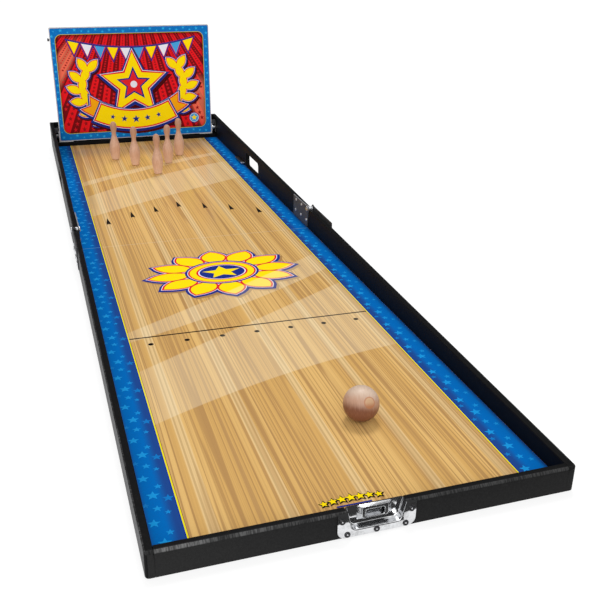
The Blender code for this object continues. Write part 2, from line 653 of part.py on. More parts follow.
def build_sign_carrier(side, label, materials):
    """Wall bracket with its stop lip, and the pivot stud that the sign turns on."""
    wall_x = side * (INNER_X - FIT)
    face = wall_x - side * BRACKET_SHEET
    lip_y = BOARD_BACK + FIT
    lip_back = lip_y + BRACKET_SHEET
    front = SIGN_PIVOT_Y - SIGN_COLLAR_RADIUS - BRACKET_SHEET
    plan = [(wall_x, front), (wall_x, lip_back), (face - side * BRACKET_LIP_REACH, lip_back),
            (face - side * BRACKET_LIP_REACH, lip_y), (face, lip_y), (face, front)]
    bracket = prism("sign_bracket_" + label, plan, "Z", BRACKET_LOW, BRACKET_HIGH,
                    materials["dark_steel"], origin=(wall_x, lip_y, BRACKET_LOW))
    # Only the upper part keeps its lip, so the sign's foot can swing back below it.
    lip_box = prism_mesh(box_outline(*sorted((face, face - side * (BRACKET_LIP_REACH + OVERRUN))),
                                     lip_y - OVERRUN, lip_back + OVERRUN),
                         "Z", BRACKET_LOW - OVERRUN, BRACKET_LIP_LOW)
    cut(bracket, cutter_from("sign_bracket_lip_" + label, lip_box, materials["dark_steel"]))
    tip = side * (HALF_SIGN - SIGN_PIVOT_DEPTH)
    shaft_end = side * (HALF_SIGN + FIT + SHOE_SHEET + FIT)
    shaft = abs(shaft_end - tip)
    whole = abs(face - side * FIT - tip)
    profile = [(0, 0), (SIGN_PIVOT_RADIUS, 0), (SIGN_PIVOT_RADIUS, shaft),
               (SIGN_COLLAR_RADIUS, shaft), (SIGN_COLLAR_RADIUS, whole), (0, whole)]
    turned("sign_pivot_" + label, profile, materials["steel"], (tip, SIGN_PIVOT_Y, SIGN_PIVOT_Z),
           (side, 0, 0), 20)


def build_sign_ledge(material):
    """Narrow ledge on the right wall that keeps the folded sign's tip to the middle."""
    wall_x = INNER_X - FIT
    start = SIGN_TIP_Y - LEDGE_PAST_TIP
    low = LANE_TOP + LEDGE_UP
    plan = box_outline(wall_x - LEDGE_WIDTH, wall_x, start, start + LEDGE_LENGTH)
    prism("sign_ledge", plan, "Z", low, low + LEDGE_SHEET, material, bevel=FIT * 2,
          origin=(wall_x, start, low))


def build_pin(name, x, ahead, material):
    """Bowling pin turned from base, belly, neck and head radii."""
    base, belly, neck, head = (PIN_BASE_RADIUS, PIN_BELLY_RADIUS, PIN_NECK_RADIUS, PIN_HEAD_RADIUS)
    # Share of the height, the two radii it lies between, share of the way to the second.
    outline_shares = (
        (0.00, 0, base, 0.90), (0.02, 0, base, 1.00), (0.12, base, belly, 0.62),
        (0.22, base, belly, 0.93), (0.31, base, belly, 1.00), (0.40, belly, neck, 0.12),
        (0.49, belly, neck, 0.42), (0.57, belly, neck, 0.76), (0.64, belly, neck, 1.00),
        (0.70, neck, head, 0.06), (0.77, neck, head, 0.48), (0.83, neck, head, 0.90),
        (0.89, neck, head, 1.00), (0.94, head, 0, 0.16), (0.98, head, 0, 0.54),
        (1.00, head, 0, 1.00))
    profile = [(0, 0)] + [(blend(first, second, share), PIN_HEIGHT * height_share)
                          for height_share, first, second, share in outline_shares]
    return turned(name, profile, material, (x, SIGN_FACE_Y - ahead, LANE_TOP + FIT), segments=20)


def blend(first, second, share):
    return first + (second - first) * share


def build_ball(material):
    """Turned ball on the near lane."""
    bm = bmesh.new()
    bmesh.ops.create_uvsphere(bm, u_segments=28, v_segments=16, radius=BALL_RADIUS)
    centre = (BALL_X, BALL_FROM_FRONT - HALF_LENGTH, LANE_TOP + FIT + BALL_RADIUS)
    bmesh.ops.translate(bm, verts=bm.verts, vec=centre)
    return finish("ball", bm, material, origin=centre, smooth=True)


def build_floors(materials, near_axis):
    """Plywood floors, printed lane panels and the batten at the lane's end."""
    side = INNER_X - FIT
    halves = (("near", -INNER_Y + FIT, -SEAM_HALF, -INNER_Y + FIT, near_axis),
              ("far", INNER_Y - FIT, SEAM_HALF, BATTEN_START - FIT, None))
    for label, wall_end, fold_end, panel_end, parent in halves:
        floor = box_outline(-side, side, *sorted((wall_end, fold_end)))
        prism(label + "_floor", floor, "Z", 0, FLOOR, materials["case"],
              origin=(0, fold_end, 0), parent=parent)
        panel = box_outline(-side, side, *sorted((panel_end, fold_end)))
        prism(label + "_lane_panel", panel, "Z", FLOOR + FIT, LANE_TOP, materials["lane"],
              origin=(0, fold_end, LANE_TOP), parent=parent)
    batten = box_outline(BATTEN_START, BATTEN_START + BATTEN_DEPTH, FLOOR + FIT, BATTEN_TOP)
    prism("end_batten", batten, "X", -side, side, materials["case"], bevel=EDGE_ROUND,
          origin=(0, BATTEN_START, FLOOR + FIT))


def clear_scene():
    for item in list(bpy.data.objects):
        bpy.data.objects.remove(item, do_unlink=True)


def main():
    clear_scene()
    materials = {
        "case": make_material("black painted plywood", (0.012, 0.012, 0.013), 0.55),
        "lane": make_material("printed maple lane", (0.60, 0.38, 0.16), 0.30),
        "board": make_material("white sign board", (0.78, 0.79, 0.80), 0.45),
        "sign_red": make_material("printed red sign sheet", (0.55, 0.02, 0.03), 0.30),
        "dark_steel": make_material("dark plated steel", (0.10, 0.10, 0.11), 0.45, 0.9),
        "steel": make_material("bright zinc steel", (0.70, 0.71, 0.73), 0.30, 1.0),
        "chrome": make_material("chromed latch", (0.80, 0.81, 0.83), 0.12, 1.0),
        "wood": make_material("turned pale wood", (0.72, 0.44, 0.32), 0.45),
    }
    near_axis = make_axis("case_fold_axis", (0, 0, HINGE_HEIGHT))

    for side, label in ((-1, "left"), (1, "right")):
        build_side_wall("near_wall_" + label, side, True, materials, near_axis)
        build_side_wall("far_wall_" + label, side, False, materials)
        build_hinge(side, label, materials, near_axis)
    build_end_wall("front_wall", -1, FRONT_RIM, KEEPER_HEIGHT + FIT, materials, near_axis)
    build_end_wall("back_wall", 1, BACK_RIM, TURNING_HEIGHT + FIT, materials)

    build_floors(materials, near_axis)

    build_keeper(materials, near_axis)
    build_turning_latch(materials)
    build_sign(materials)
    build_sign_ledge(materials["dark_steel"])
    build_pin("pin_front", 0, PIN_FRONT_AHEAD, materials["wood"])
    for side, label in ((-1, "left"), (1, "right")):
        build_pin("pin_middle_" + label, side * PIN_MIDDLE_X, PIN_MIDDLE_AHEAD, materials["wood"])
        build_pin("pin_back_" + label, side * PIN_BACK_X, PIN_BACK_AHEAD, materials["wood"])
    build_ball(materials["wood"])


main()
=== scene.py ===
import bmesh
import bpy
import numpy as np
from mathutils import Matrix, Vector


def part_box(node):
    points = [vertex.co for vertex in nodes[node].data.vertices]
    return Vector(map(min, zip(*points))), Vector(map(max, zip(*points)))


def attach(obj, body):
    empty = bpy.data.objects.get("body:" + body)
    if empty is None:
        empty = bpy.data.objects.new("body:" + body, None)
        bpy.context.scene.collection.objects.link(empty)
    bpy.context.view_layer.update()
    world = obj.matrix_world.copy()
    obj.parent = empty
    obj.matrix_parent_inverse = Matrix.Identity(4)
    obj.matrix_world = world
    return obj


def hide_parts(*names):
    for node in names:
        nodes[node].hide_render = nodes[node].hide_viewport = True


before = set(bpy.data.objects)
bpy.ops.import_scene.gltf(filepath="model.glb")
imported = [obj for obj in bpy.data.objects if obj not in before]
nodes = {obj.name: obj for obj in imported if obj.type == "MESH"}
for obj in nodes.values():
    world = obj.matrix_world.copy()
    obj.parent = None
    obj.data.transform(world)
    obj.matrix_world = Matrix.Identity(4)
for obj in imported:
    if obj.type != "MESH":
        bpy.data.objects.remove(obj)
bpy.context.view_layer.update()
print("frame loaded,", len(nodes), "nodes")

panelLow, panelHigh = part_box("near_lane_panel")
nearEnd, laneEdge, laneTop = panelLow.y, panelHigh.x, panelHigh.z
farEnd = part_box("far_lane_panel")[1].y
printLow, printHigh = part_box("sign_print_sheet")
signFace = printLow.y
frontRim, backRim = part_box("front_wall")[1].z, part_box("back_wall")[1].z
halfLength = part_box("back_wall")[1].y
wallInside, wallOutside = (corner.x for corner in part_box("near_wall_right"))


def tone(red, green, blue):
    # screen colour to linear light: ((c + 0.055) / 1.055) to the power 2.4, or c / 12.92 when dark
    share = np.array([red, green, blue]) / 255
    linear = np.where(share <= 0.04045, share / 12.92, ((share + 0.055) / 1.055) ** 2.4)
    return tuple(float(v) for v in linear) + (1.0,)


# Shader values and nodes

class Field:
    # what one socket of a shader tree gives, with arithmetic: each operator adds a Math node
    def __init__(self, tree, socket):
        self.tree = tree
        self.socket = socket

    def maths(self, operation, *others):
        return fieldOf(self.tree, "Math", dict(enumerate((self,) + others)), operation=operation)

    def __add__(self, other):
        return self.maths("ADD", other)

    def __sub__(self, other):
        return self.maths("SUBTRACT", other)

    def __rsub__(self, other):
        return fieldOf(self.tree, "Math", {0: other, 1: self}, operation="SUBTRACT")

    def __mul__(self, other):
        return self.maths("MULTIPLY", other)

    def __truediv__(self, other):
        return self.maths("DIVIDE", other)

    def __abs__(self):
        return self.maths("ABSOLUTE")

    def larger(self, other):
        return self.maths("MAXIMUM", other)

    def folded(self, length):
        # up and down between 0 and the length, as a zigzag
        return self.maths("PINGPONG", length)


def addNode(tree, kind, inputs=None, **settings):
    # a shader node: fields in inputs are linked, other values are written in
    node = tree.nodes.new("ShaderNode" + kind)
    for name, value in settings.items():
        setattr(node, name, value)
    for key, value in (inputs or {}).items():
        if isinstance(value, Field):
            tree.links.new(value.socket, node.inputs[key])
        else:
            node.inputs[key].default_value = value
    return node


def fieldOf(tree, kind, inputs=None, output=0, **settings):
    return Field(tree, addNode(tree, kind, inputs, **settings).outputs[output])


def rise(value, low, high):
    # 0 below low, 1 above high, a smooth step between; turned round when low is the larger
    return fieldOf(value.tree, "MapRange", {0: value, 1: low, 2: high, 3: 0.0, 4: 1.0},
                   interpolation_type="SMOOTHSTEP")


def blend(share, first, second):
    return fieldOf(share.tree, "Mix", {0: share, 6: first, 7: second}, output=2,
                   data_type="RGBA", blend_type="MIX")


def laid(colour, value, step, ink):
    # ink over a colour where a value passes a soft step: its start, its end and its strength
    low, high, strength = step
    return blend(rise(value, low, high) * strength, colour, ink)


def ranged(share, least, most):
    # a share from 0 to 1, spread over a range
    return share * (most - least) + least


def noise(vector, scale=1.0, detail=0.0, roughness=0.5):
    # noise from 0 to 1 at a place, or at three values that stand for its X, Y and Z
    if isinstance(vector, tuple):
        vector = fieldOf(vector[0].tree, "CombineXYZ", dict(enumerate(vector)))
    return fieldOf(vector.tree, "TexNoise", {"Vector": vector, "Scale": scale, "Detail": detail,
                                             "Roughness": roughness})


def startMaterial(name, colour, roughness, metallic=0.0):
    # a Principled material, the object's own coordinates, and these split into X, Y and Z
    material = bpy.data.materials.new(name)
    material.use_nodes = True
    material.diffuse_color = colour
    tree = material.node_tree
    shader = tree.nodes["Principled BSDF"]
    shader.inputs["Base Color"].default_value = colour
    shader.inputs["Roughness"].default_value = roughness
    shader.inputs["Metallic"].default_value = metallic
    place = fieldOf(tree, "TexCoord", output="Object")
    axes = addNode(tree, "SeparateXYZ", {0: place}).outputs
    return material, shader, place, [Field(tree, axis) for axis in axes]


def finishSurface(shader, colour, height, strength, distance, level=None, roughness=None):
    # colour and roughness are linked, the bump has a height, a strength and a distance
    tree = height.tree
    normal = fieldOf(tree, "Bump", {"Height": height, "Strength": strength, "Distance": distance})
    for name, value in (("Base Color", colour), ("Roughness", roughness), ("Normal", normal)):
        if value is not None:
            tree.links.new(value.socket, shader.inputs[name])
    if level is not None:
        shader.inputs["Specular IOR Level"].default_value = level


def finishPrint(shader, place, colour, level):
    # the faint tooth of a printed sheet
    finishSurface(shader, colour, noise(place, scale=900.0, detail=1.0), strength=0.03,
                  distance=0.0002, level=level)


def makeObject(name, points, faces, material):
    mesh = bpy.data.meshes.new(name)
    mesh.from_pydata(np.array(points).tolist(), [], faces)
    mesh.materials.append(material)
    made = bpy.data.objects.new(name, mesh)
    bpy.context.scene.collection.objects.link(made)
    return made


# Camera and studio

view = {"place": (-0.37599, -1.97899, 0.72881), "yaw": 0.31706, "pitch": 0.41753,
        "roll": 0.01155, "lens": 50.0, "sensor": 36.0, "nearest": 0.02}
studio = {"floorReach": 30.0, "floorLow": -0.0006, "floorSeen": 0.27, "floorGlow": 0.79,
          "floorMatte": 0.80, "cardGlow": 0.045, "worldLight": 0.60,
          "lamps": {"backLamp": {"travel": (-0.13, -0.40, -0.90), "strength": 1.10, "angle": 17},
                    "frontLamp": {"travel": (0.20, 0.85, -0.49), "strength": 1.15, "angle": 50}}}
# dark cards that only shiny surfaces see: middle, half sizes along their two sides
cards = {"frontFloorCard": ((0.1, -2.240, 0.0004), (1.6, 0, 0), (0, 1.04, 0)),
         "keeperCard": ((0.011, -1.1935, 0.0004), (0.035, 0, 0), (0, 0.0080, 0)),
         "frontCard": ((1.0, -3.6, 1.40), (1.3, 0, 0), (0, 0, 1.40)),
         "backCard": ((0.6, 4.2, 3.6), (7.5, 0, 0), (0, 0, 3.6)),
         "rightCard": ((4.6, 0.5, 1.2), (0, 4.5, 0), (0, 0, 1.2))}


def placeCamera():
    # turned by the roll about its own line of sight, tilted by the pitch, then by the yaw
    turn = (Matrix.Rotation(-view["yaw"], 4, "Z")
            @ Matrix.Rotation(np.pi / 2 - view["pitch"], 4, "X")
            @ Matrix.Rotation(view["roll"], 4, "Z"))
    lens = bpy.data.cameras.new("productView")
    lens.lens, lens.sensor_width, lens.clip_start = view["lens"], view["sensor"], view["nearest"]
    camera = bpy.data.objects.new("productView", lens)
    camera.matrix_world = Matrix.Translation(view["place"]) @ turn
    bpy.context.scene.collection.objects.link(camera)
    bpy.context.scene.camera = camera


def seenDirectly(tree):
    # 1 for camera, glossy and transmission rays, 0 for the light that surfaces pass on
    camera, glossy, clear = (fieldOf(tree, "LightPath", output=name) for name in
                             ("Is Camera Ray", "Is Glossy Ray", "Is Transmission Ray"))
    return camera.larger(glossy).larger(clear)


def flatSheet(name, middle, first, second):
    # four corners at the middle plus and minus the two half sides
    material = bpy.data.materials.new(name)
    material.use_nodes = True
    material.node_tree.nodes.clear()
    corners = np.array([[-1, -1], [1, -1], [1, 1], [-1, 1]]) @ np.array([first, second])
    sheet = makeObject(name, np.array(middle) + corners, [(0, 1, 2, 3)], material)
    return sheet, material.node_tree


def buildFloor():
    # a wide floor that glows nearly white for the camera, and is plain matte for other light
    reach = studio["floorReach"]
    tree = flatSheet("studioFloor", (0, 0, studio["floorLow"]), (reach, 0, 0), (0, reach, 0))[1]
    matte, shaded = (fieldOf(tree, "BsdfDiffuse", {"Color": (studio[key],) * 3 + (1,)})
                     for key in ("floorMatte", "floorSeen"))
    glow = fieldOf(tree, "Emission", {"Strength": studio["floorGlow"]})
    both = fieldOf(tree, "AddShader", {0: shaded, 1: glow})
    chosen = fieldOf(tree, "MixShader", {0: seenDirectly(tree), 1: matte, 2: both})
    addNode(tree, "OutputMaterial", {"Surface": chosen})


def buildCards():
    for name, (middle, first, second) in cards.items():
        card, tree = flatSheet(name, middle, first, second)
        grey = fieldOf(tree, "Emission", {"Strength": studio["cardGlow"]})
        addNode(tree, "OutputMaterial", {"Surface": grey})
        card.visible_camera = card.visible_diffuse = card.visible_shadow = False
        card.visible_transmission = card.visible_volume_scatter = False


def lightStudio():
    # white surroundings, dimmer for what they cast than for what is seen, and two soft suns
    world = bpy.data.worlds.new("studioWorld")
    world.use_nodes = True
    tree = world.node_tree
    tree.nodes.clear()
    strength = seenDirectly(tree) * (1 - studio["worldLight"]) + studio["worldLight"]
    sky = fieldOf(tree, "Background", {"Color": (1, 1, 1, 1), "Strength": strength})
    addNode(tree, "OutputWorld", {"Surface": sky})
    bpy.context.scene.world = world
    for name, setting in studio["lamps"].items():
        sun = bpy.data.lights.new(name, "SUN")
        sun.energy, sun.angle = setting["strength"], np.radians(setting["angle"])
        lamp = bpy.data.objects.new(name, sun)
        lamp.rotation_euler = Vector(setting["travel"]).to_track_quat("-Z", "Y").to_euler()
        bpy.context.scene.collection.objects.link(lamp)
    bpy.context.scene.view_settings.view_transform = "Standard"


placeCamera()
buildFloor()
buildCards()
lightStudio()
print("camera and studio ready")


# Lane print

# widths and places in metres; a soft step is its start, its end and, third, its strength
lane = {
    "lineX": 0.2425, "plankWidth": 0.1083, "plankStart": -0.2055, "creamHalf": 0.0078,
    "creamEdge": 0.0010, "coreAt": 0.0038, "coreHalf": 0.0015, "coreEdge": 0.0004,
    "swayAcross": 9.0, "swayAlong": 1.6, "grainSway": 0.008, "jointSway": 0.003,
    "sideShade": (0.232, 0.243, 0.50), "foldSeam": (0.0036, 0.0014, 0.15),
    "creamShare": 0.72, "coreShare": 0.75, "grainOnCream": 0.45,
    "base": tone(225, 183, 114), "deep": tone(212, 168, 100), "streak": tone(186, 145, 92),
    "line": tone(178, 137, 86), "cream": tone(230, 200, 148), "creamCore": tone(194, 161, 110),
    "yellow": tone(238, 226, 12), "brown": tone(150, 104, 70), "lineBlue": tone(16, 52, 150),
    "ink": tone(24, 20, 18), "roughness": 0.18, "specular": 0.05,
}
# grain of the planks: noise scale across and along, its own place in the noise, a soft step, and
# the range of strength over that step
grains = {"strong": (15.0, 0.50, 3.0, (0.40, 0.56), (0.65, 0.90)),
          "closeHere": (13.0, 0.45, 23.0, (0.44, 0.56), (0.14, 0.76)),
          "broad": (100.0, 0.26, 7.0, (0.655, 0.675), (0.0, 0.90)),
          "hair": (260.0, 0.80, 11.0, (0.54, 0.66), (0.0, 0.20)),
          "tint": (38.0, 0.30, 15.0, (0.40, 0.60), (0.0, 1.0))}
# ring lines: the same scales and place, then the lines for the noise's whole range, their width
ringLines = {"rings": (40.0, 0.30, 0.0, 6.5, 0.15), "closeRings": (74.0, 0.36, 5.0, 7.0, 0.17)}

# painted reflection bands over the planks: X and the lower and upper edge's Y at three places
gleam = {"shine": tone(253, 242, 212), "share": 0.21, "lowSoft": 0.002, "highSoft": 0.003,
         "sideFade": (0.001, -0.030), "sideRange": (0.5, 1.0), "sideCut": 0.0006,
         "onInk": (0.01, 0.12), "inkRange": (0.25, 1.0),
         "bands": (((-0.240, -0.840, -0.660), (0.000, -0.743, -0.518), (0.240, -0.690, -0.376)),
                   ((-0.240, -0.540, -0.498), (0.000, -0.432, -0.350), (0.240, -0.288, -0.190)),
                   ((-0.240, 0.250, 0.438), (0.000, 0.396, 0.614), (0.240, 0.528, 0.734)),
                   ((-0.240, 0.552, 0.596), (0.000, 0.712, 0.752), (0.240, 0.836, 0.868)))}


def gleamShare(x, y):
    # the share of the painted reflection bands at a place
    # each band lies between two parabolas fitted through three points; the strongest band counts,
    # and all fade towards the side lines
    low, high, cut = gleam["lowSoft"], gleam["highSoft"], gleam["sideCut"]
    total = None
    for band in gleam["bands"]:
        xs, lows, highs = np.array(band).T
        edges = []
        for heights in (lows, highs):
            square, slope, start = (float(v) for v in np.polyfit(xs, heights, 2))
            edges.append(x * (x * square + slope) + start)
        inside = rise(y - edges[0], -low, low) * rise(edges[1] - y, -high, high)
        total = inside if total is None else total.larger(inside)
    beyond = abs(x) - lane["lineX"]
    fade = ranged(rise(beyond, *gleam["sideFade"]), *gleam["sideRange"])
    return total * (fade * rise(beyond, cut, -cut)) * gleam["share"]


def lanePrint():
    # planks: contour lines and soft steps of noises drawn out along Y, cream strips at an even
    # pitch, then the painted reflection bands and the pale fold seam on top
    material, shader, place, (x, y, z) = startMaterial("lanePrint", lane["base"],
                                                       lane["roughness"])
    sway = noise((x * lane["swayAcross"], y * lane["swayAlong"], 0.0))
    across = sway * lane["grainSway"] + x

    def grain(name):
        perAcross, perAlong, seed, step, strengths = grains[name]
        return ranged(rise(noise((across * perAcross, y * perAlong, seed)), *step), *strengths)

    def contours(name):
        # lines where the noise times the count passes a whole number
        perAcross, perAlong, seed, count, width = ringLines[name]
        phase = (noise((across * perAcross, y * perAlong, seed)) * count).folded(0.5)
        return rise(phase, width, width * 0.45)

    colour = blend(grain("tint"), lane["base"], lane["deep"])
    # cream strips at the plank joints, each with a greyer core line
    toJoint = (sway * lane["jointSway"] + x - lane["plankStart"]).folded(lane["plankWidth"] / 2)
    half, soft = lane["creamHalf"], lane["creamEdge"]
    strip = rise(toJoint, half + soft, half - soft)
    half, soft = lane["coreHalf"], lane["coreEdge"]
    core = rise(abs(toJoint - lane["coreAt"]), half + soft, half - soft)
    colour = blend(strip * lane["creamShare"], colour, lane["cream"])
    colour = blend(core * lane["coreShare"], colour, lane["creamCore"])
    # the dark grain lies fainter on the cream strips
    onStrip = ranged(strip, 1.0, lane["grainOnCream"])
    for share, ink in ((grain("hair"), "line"), (grain("broad"), "streak"),
                       (contours("closeRings") * grain("closeHere"), "line"),
                       (contours("rings") * grain("strong"), "line")):
        colour = blend(share * onStrip, colour, lane[ink])
    # shade beside the side lines
    colour = laid(colour, abs(x), lane["sideShade"], lane["streak"])
    # painted reflection bands over the planks
    colour = blend(gleamShare(x, y), colour, gleam["shine"])
    colour = laid(colour, abs(y), lane["foldSeam"], gleam["shine"])
    finishPrint(shader, place, colour, lane["specular"])
    return material


border = {"blue": tone(8, 108, 190), "navy": tone(34, 72, 142), "seam": tone(86, 160, 214),
          "lineShade": (0.025, 0.008), "wallShade": (0.040, 0.050), "wallShare": 0.65,
          "speckle": (0.45, 0.70, 0.10), "foldSeam": (0.0030, 0.0012, 0.45),
          "roughness": 0.45, "edgeIn": 0.0001}


def borderPrint():
    # blue, darker towards the side line and a little at the wall, by the distance from the line
    material, shader, place, (x, y, z) = startMaterial("borderPrint", border["blue"],
                                                       border["roughness"])
    beyond = abs(x) - lane["lineX"]
    atWall = rise(beyond, *border["wallShade"]) * border["wallShare"]
    dark = rise(beyond, *border["lineShade"]).larger(atWall)
    colour = blend(dark, border["blue"], border["navy"])
    colour = laid(colour, noise(place, scale=260.0, detail=2.0), border["speckle"], border["navy"])
    colour = laid(colour, abs(y), border["foldSeam"], border["seam"])
    finishPrint(shader, place, colour, level=0.0)
    return material


def printedInk(name, roughness, gleaming):
    # flat inks: the colour is the mesh's own ink attribute; on the lane, painted reflection on top
    material, shader, place, (x, y, z) = startMaterial(name, (0.5, 0.5, 0.5, 1), roughness)
    ink = fieldOf(place.tree, "Attribute", output="Color", attribute_name="ink")
    ink = laid(ink, noise(place, scale=1400.0, detail=1.0), (0.55, 0.75, 0.05), (1.0, 1.0, 1.0, 1.0))
    if gleaming:
        # the painted reflection veils pale inks more than dark ones
        light = fieldOf(place.tree, "RGBToBW", {0: ink})
        veil = ranged(rise(light, *gleam["onInk"]), *gleam["inkRange"])
        ink = blend(gleamShare(x, y) * veil, ink, gleam["shine"])
    finishPrint(shader, place, ink, level=0.01)
    return material


# Outlines for the printed art, as arrays of points that run anticlockwise

def polar(radius, degrees):
    # points at a radius and an angle a: (radius cos a, radius sin a)
    angle = np.radians(degrees)
    return np.c_[radius * np.cos(angle), radius * np.sin(angle)]


def starOutline(outer=1.0, inner=0.42, turn=90.0):
    # five points: the radius goes from outer to inner and back at even angles
    corner = np.arange(10)
    return polar(np.where(corner % 2 == 0, outer, inner), turn + corner * 36.0)


def discOutline(radius, count=48):
    return polar(radius, np.arange(count) * 360 / count)


def roundedBox(left, right, low, high, radius, steps=8):
    # four quarter circles, joined by straight sides
    middles = ((right - radius, high - radius), (left + radius, high - radius),
               (left + radius, low + radius), (right - radius, low + radius))
    return np.concatenate([polar(radius, start + np.linspace(0, 90, steps + 1)) + middle
                           for middle, start in zip(middles, (0, 90, 180, 270))])


def bannerOutline(radius, width, start, end, notch, steps=24):
    # strip between two arcs about the origin, its ends cut to a swallowtail
    angle = np.linspace(start, end, steps)
    tips = polar(radius, [end - notch, start + notch])
    return np.concatenate([polar(radius + width / 2, angle), tips[:1],
                           polar(radius - width / 2, angle)[::-1], tips[1:]])


def leafOutline(length, width, steps=9):
    # two arcs of a sine bow that meet in points
    share = np.linspace(0, 1, steps)
    bow = width / 2 * np.sin(np.pi * share) ** 0.8
    lower = np.c_[share * length, -bow]
    upper = np.c_[share * length, bow][::-1]
    return np.concatenate([lower, upper[1:-1]])


def grown(outline, distance, cap=1.7):
    # each corner moves out along the mean of its two edge normals, far enough to move both
    # edges by the distance, but never more than cap times it
    ahead = np.roll(outline, -1, axis=0) - outline
    ahead = ahead / np.linalg.norm(ahead, axis=1, keepdims=True)
    normal = np.c_[ahead[:, 1], -ahead[:, 0]]
    mean = normal + np.roll(normal, 1, axis=0)
    mean = mean / np.maximum(np.linalg.norm(mean, axis=1, keepdims=True), 1e-9)
    reach = 1 / np.maximum(np.sum(mean * normal, axis=1, keepdims=True), 1e-3)
    return outline + mean * distance * np.minimum(reach, cap)


def placed(outline, centre=(0, 0), size=1.0, turn=0.0):
    # one outline turned by degrees, scaled, and set down at one or many centres
    centre, size, turn = np.atleast_2d(centre), np.atleast_1d(size), np.radians(np.atleast_1d(turn))
    cosine, sine = np.cos(turn)[:, None], np.sin(turn)[:, None]
    a = outline[None, :, 0] * cosine - outline[None, :, 1] * sine
    b = outline[None, :, 0] * sine + outline[None, :, 1] * cosine
    return np.stack([a, b], axis=-1) * size[:, None, None] + centre[:, None, :]


def ringQuads(inner, outer):
    # quads between two outlines of as many points
    return np.stack([outer, np.roll(outer, -1, 0), np.roll(inner, -1, 0), inner], axis=1)


def strips(rows):
    # rectangles from rows of left, right, low and high
    left, right, low, high = np.array(rows, float).T
    return np.stack([np.c_[left, low], np.c_[right, low], np.c_[right, high], np.c_[left, high]],
                    axis=1)


def rimmed(shapes, rims, drop=(0.0, 0.0)):
    # all shapes in one rim colour first, then in the next narrower one, so that rims run together
    layers = []
    for number, (distance, colour) in enumerate(rims):
        offset = np.array(drop) if number == 0 else np.zeros(2)
        for shape in shapes:
            layers.append(((grown(shape, distance) if distance else shape)[None] + offset, colour))
    return layers


def onLane(flat, lift):
    return np.c_[flat, np.zeros(len(flat)) + laneTop + lift]


def onSign(flat, lift):
    return np.c_[flat[:, 0], np.zeros(len(flat)) + signFace - lift, flat[:, 1]]


inkLift, inkStep = 0.00006, 0.000004  # first ink above the sheet, and each ink above the last


def printPiece(name, layers, seat, material, body, firstLift=inkLift):
    # every outline is one flat face in its layer's ink, each layer a hair above the one before
    points, faces, inks, count = [], [], [], 0
    for step, (outlines, colour) in enumerate(layers):
        number, corners = outlines.shape[:2]
        lift = firstLift + inkStep * step + inkStep / 5 * np.repeat(np.arange(number) % 4, corners)
        points.append(seat(outlines.reshape(-1, 2), lift))
        faces += (count + np.arange(number * corners)).reshape(number, corners).tolist()
        inks.append(np.tile(colour, (number * corners, 1)))
        count += number * corners
    piece = makeObject(name, np.concatenate(points), faces, material)
    layer = piece.data.attributes.new("ink", "FLOAT_COLOR", "POINT")
    layer.data.foreach_set("color", np.concatenate(inks).astype(np.float32).ravel())
    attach(piece, body)


palette = {"yellow": tone(255, 224, 0), "orange": tone(246, 168, 12), "red": tone(222, 34, 42),
           "pale": tone(232, 232, 244), "navy": tone(22, 44, 134), "sky": tone(70, 160, 222)}

# stars of the blue borders; cluster rows are X from the left line, Y, size across, brightness
borderStar = {"pitch": 0.102, "growth": 1.18, "outer": 0.5, "inner": 0.215, "turn": 84,
              "rightX": 0.0525, "rightY": -0.036, "fromEdge": 0.0005, "fromLine": 0.001,
              "dim": tone(10, 104, 184), "bright": tone(22, 150, 222),
              "cluster": ((-0.0300, 0.000, 0.0170, 1.0), (-0.0200, 0.019, 0.0108, 0.8),
                          (-0.0375, -0.060, 0.0155, 1.0), (-0.0285, -0.030, 0.0120, 0.9),
                          (-0.0155, -0.041, 0.0088, 0.7), (-0.0105, -0.011, 0.0145, 0.26),
                          (-0.0085, -0.062, 0.0130, 0.22), (-0.0430, -0.020, 0.0100, 0.34),
                          (-0.0435, -0.078, 0.0100, 0.28))}


def borderStars(low, high):
    # the cluster is repeated along Y at an even pitch on both sides and cut off at the ends
    pitch, line = borderStar["pitch"], lane["lineX"]
    steps = np.arange(np.floor(low / pitch), np.ceil(high / pitch) + 2)
    fromLine, along, size, bright = np.array(borderStar["cluster"]).T
    across = np.concatenate([fromLine - line, fromLine + line + borderStar["rightX"]])
    shift = np.concatenate([along, along + borderStar["rightY"]])
    x = np.tile(across, len(steps))
    y = (steps[:, None] * pitch + shift).ravel()
    size = np.tile(size, 2 * len(steps)) * borderStar["growth"]
    bright = np.tile(bright, 2 * len(steps))
    keep = ((y - size / 2 > low) & (y + size / 2 < high)
            & (np.abs(x) + size / 2 < laneEdge - borderStar["fromEdge"])
            & (np.abs(x) - size / 2 > line + borderStar["fromLine"]))
    star = starOutline(borderStar["outer"], borderStar["inner"], borderStar["turn"])
    layers = []
    for level in np.unique(bright):
        chosen = keep & (bright == level)
        if chosen.any():
            mixed = (np.array(borderStar["dim"]) * (1 - level)
                     + np.array(borderStar["bright"]) * level)
            layers.append((placed(star, np.c_[x, y][chosen], size[chosen]), mixed))
    return layers


# side lines are steps outwards from the line's middle: from, to and colour
marks = {"foulLeft": -0.5267, "foulRight": -0.5353, "foulHalf": 0.0021, "foulIn": 0.0010,
         "dotLeft": -0.5587, "dotRight": -0.5647, "dotRadius": 0.0051, "firstX": -0.205,
         "stepX": 0.06875, "arrowLength": 0.055, "arrowHalf": 0.0058,
         "arrowY": (0.170, 0.212, 0.243, 0.272, 0.240, 0.206, 0.160),
         "sideLines": ((-0.0022, -0.0011, "brown"), (-0.0011, 0.0011, "yellow"),
                       (0.0011, 0.0028, "lineBlue"))}


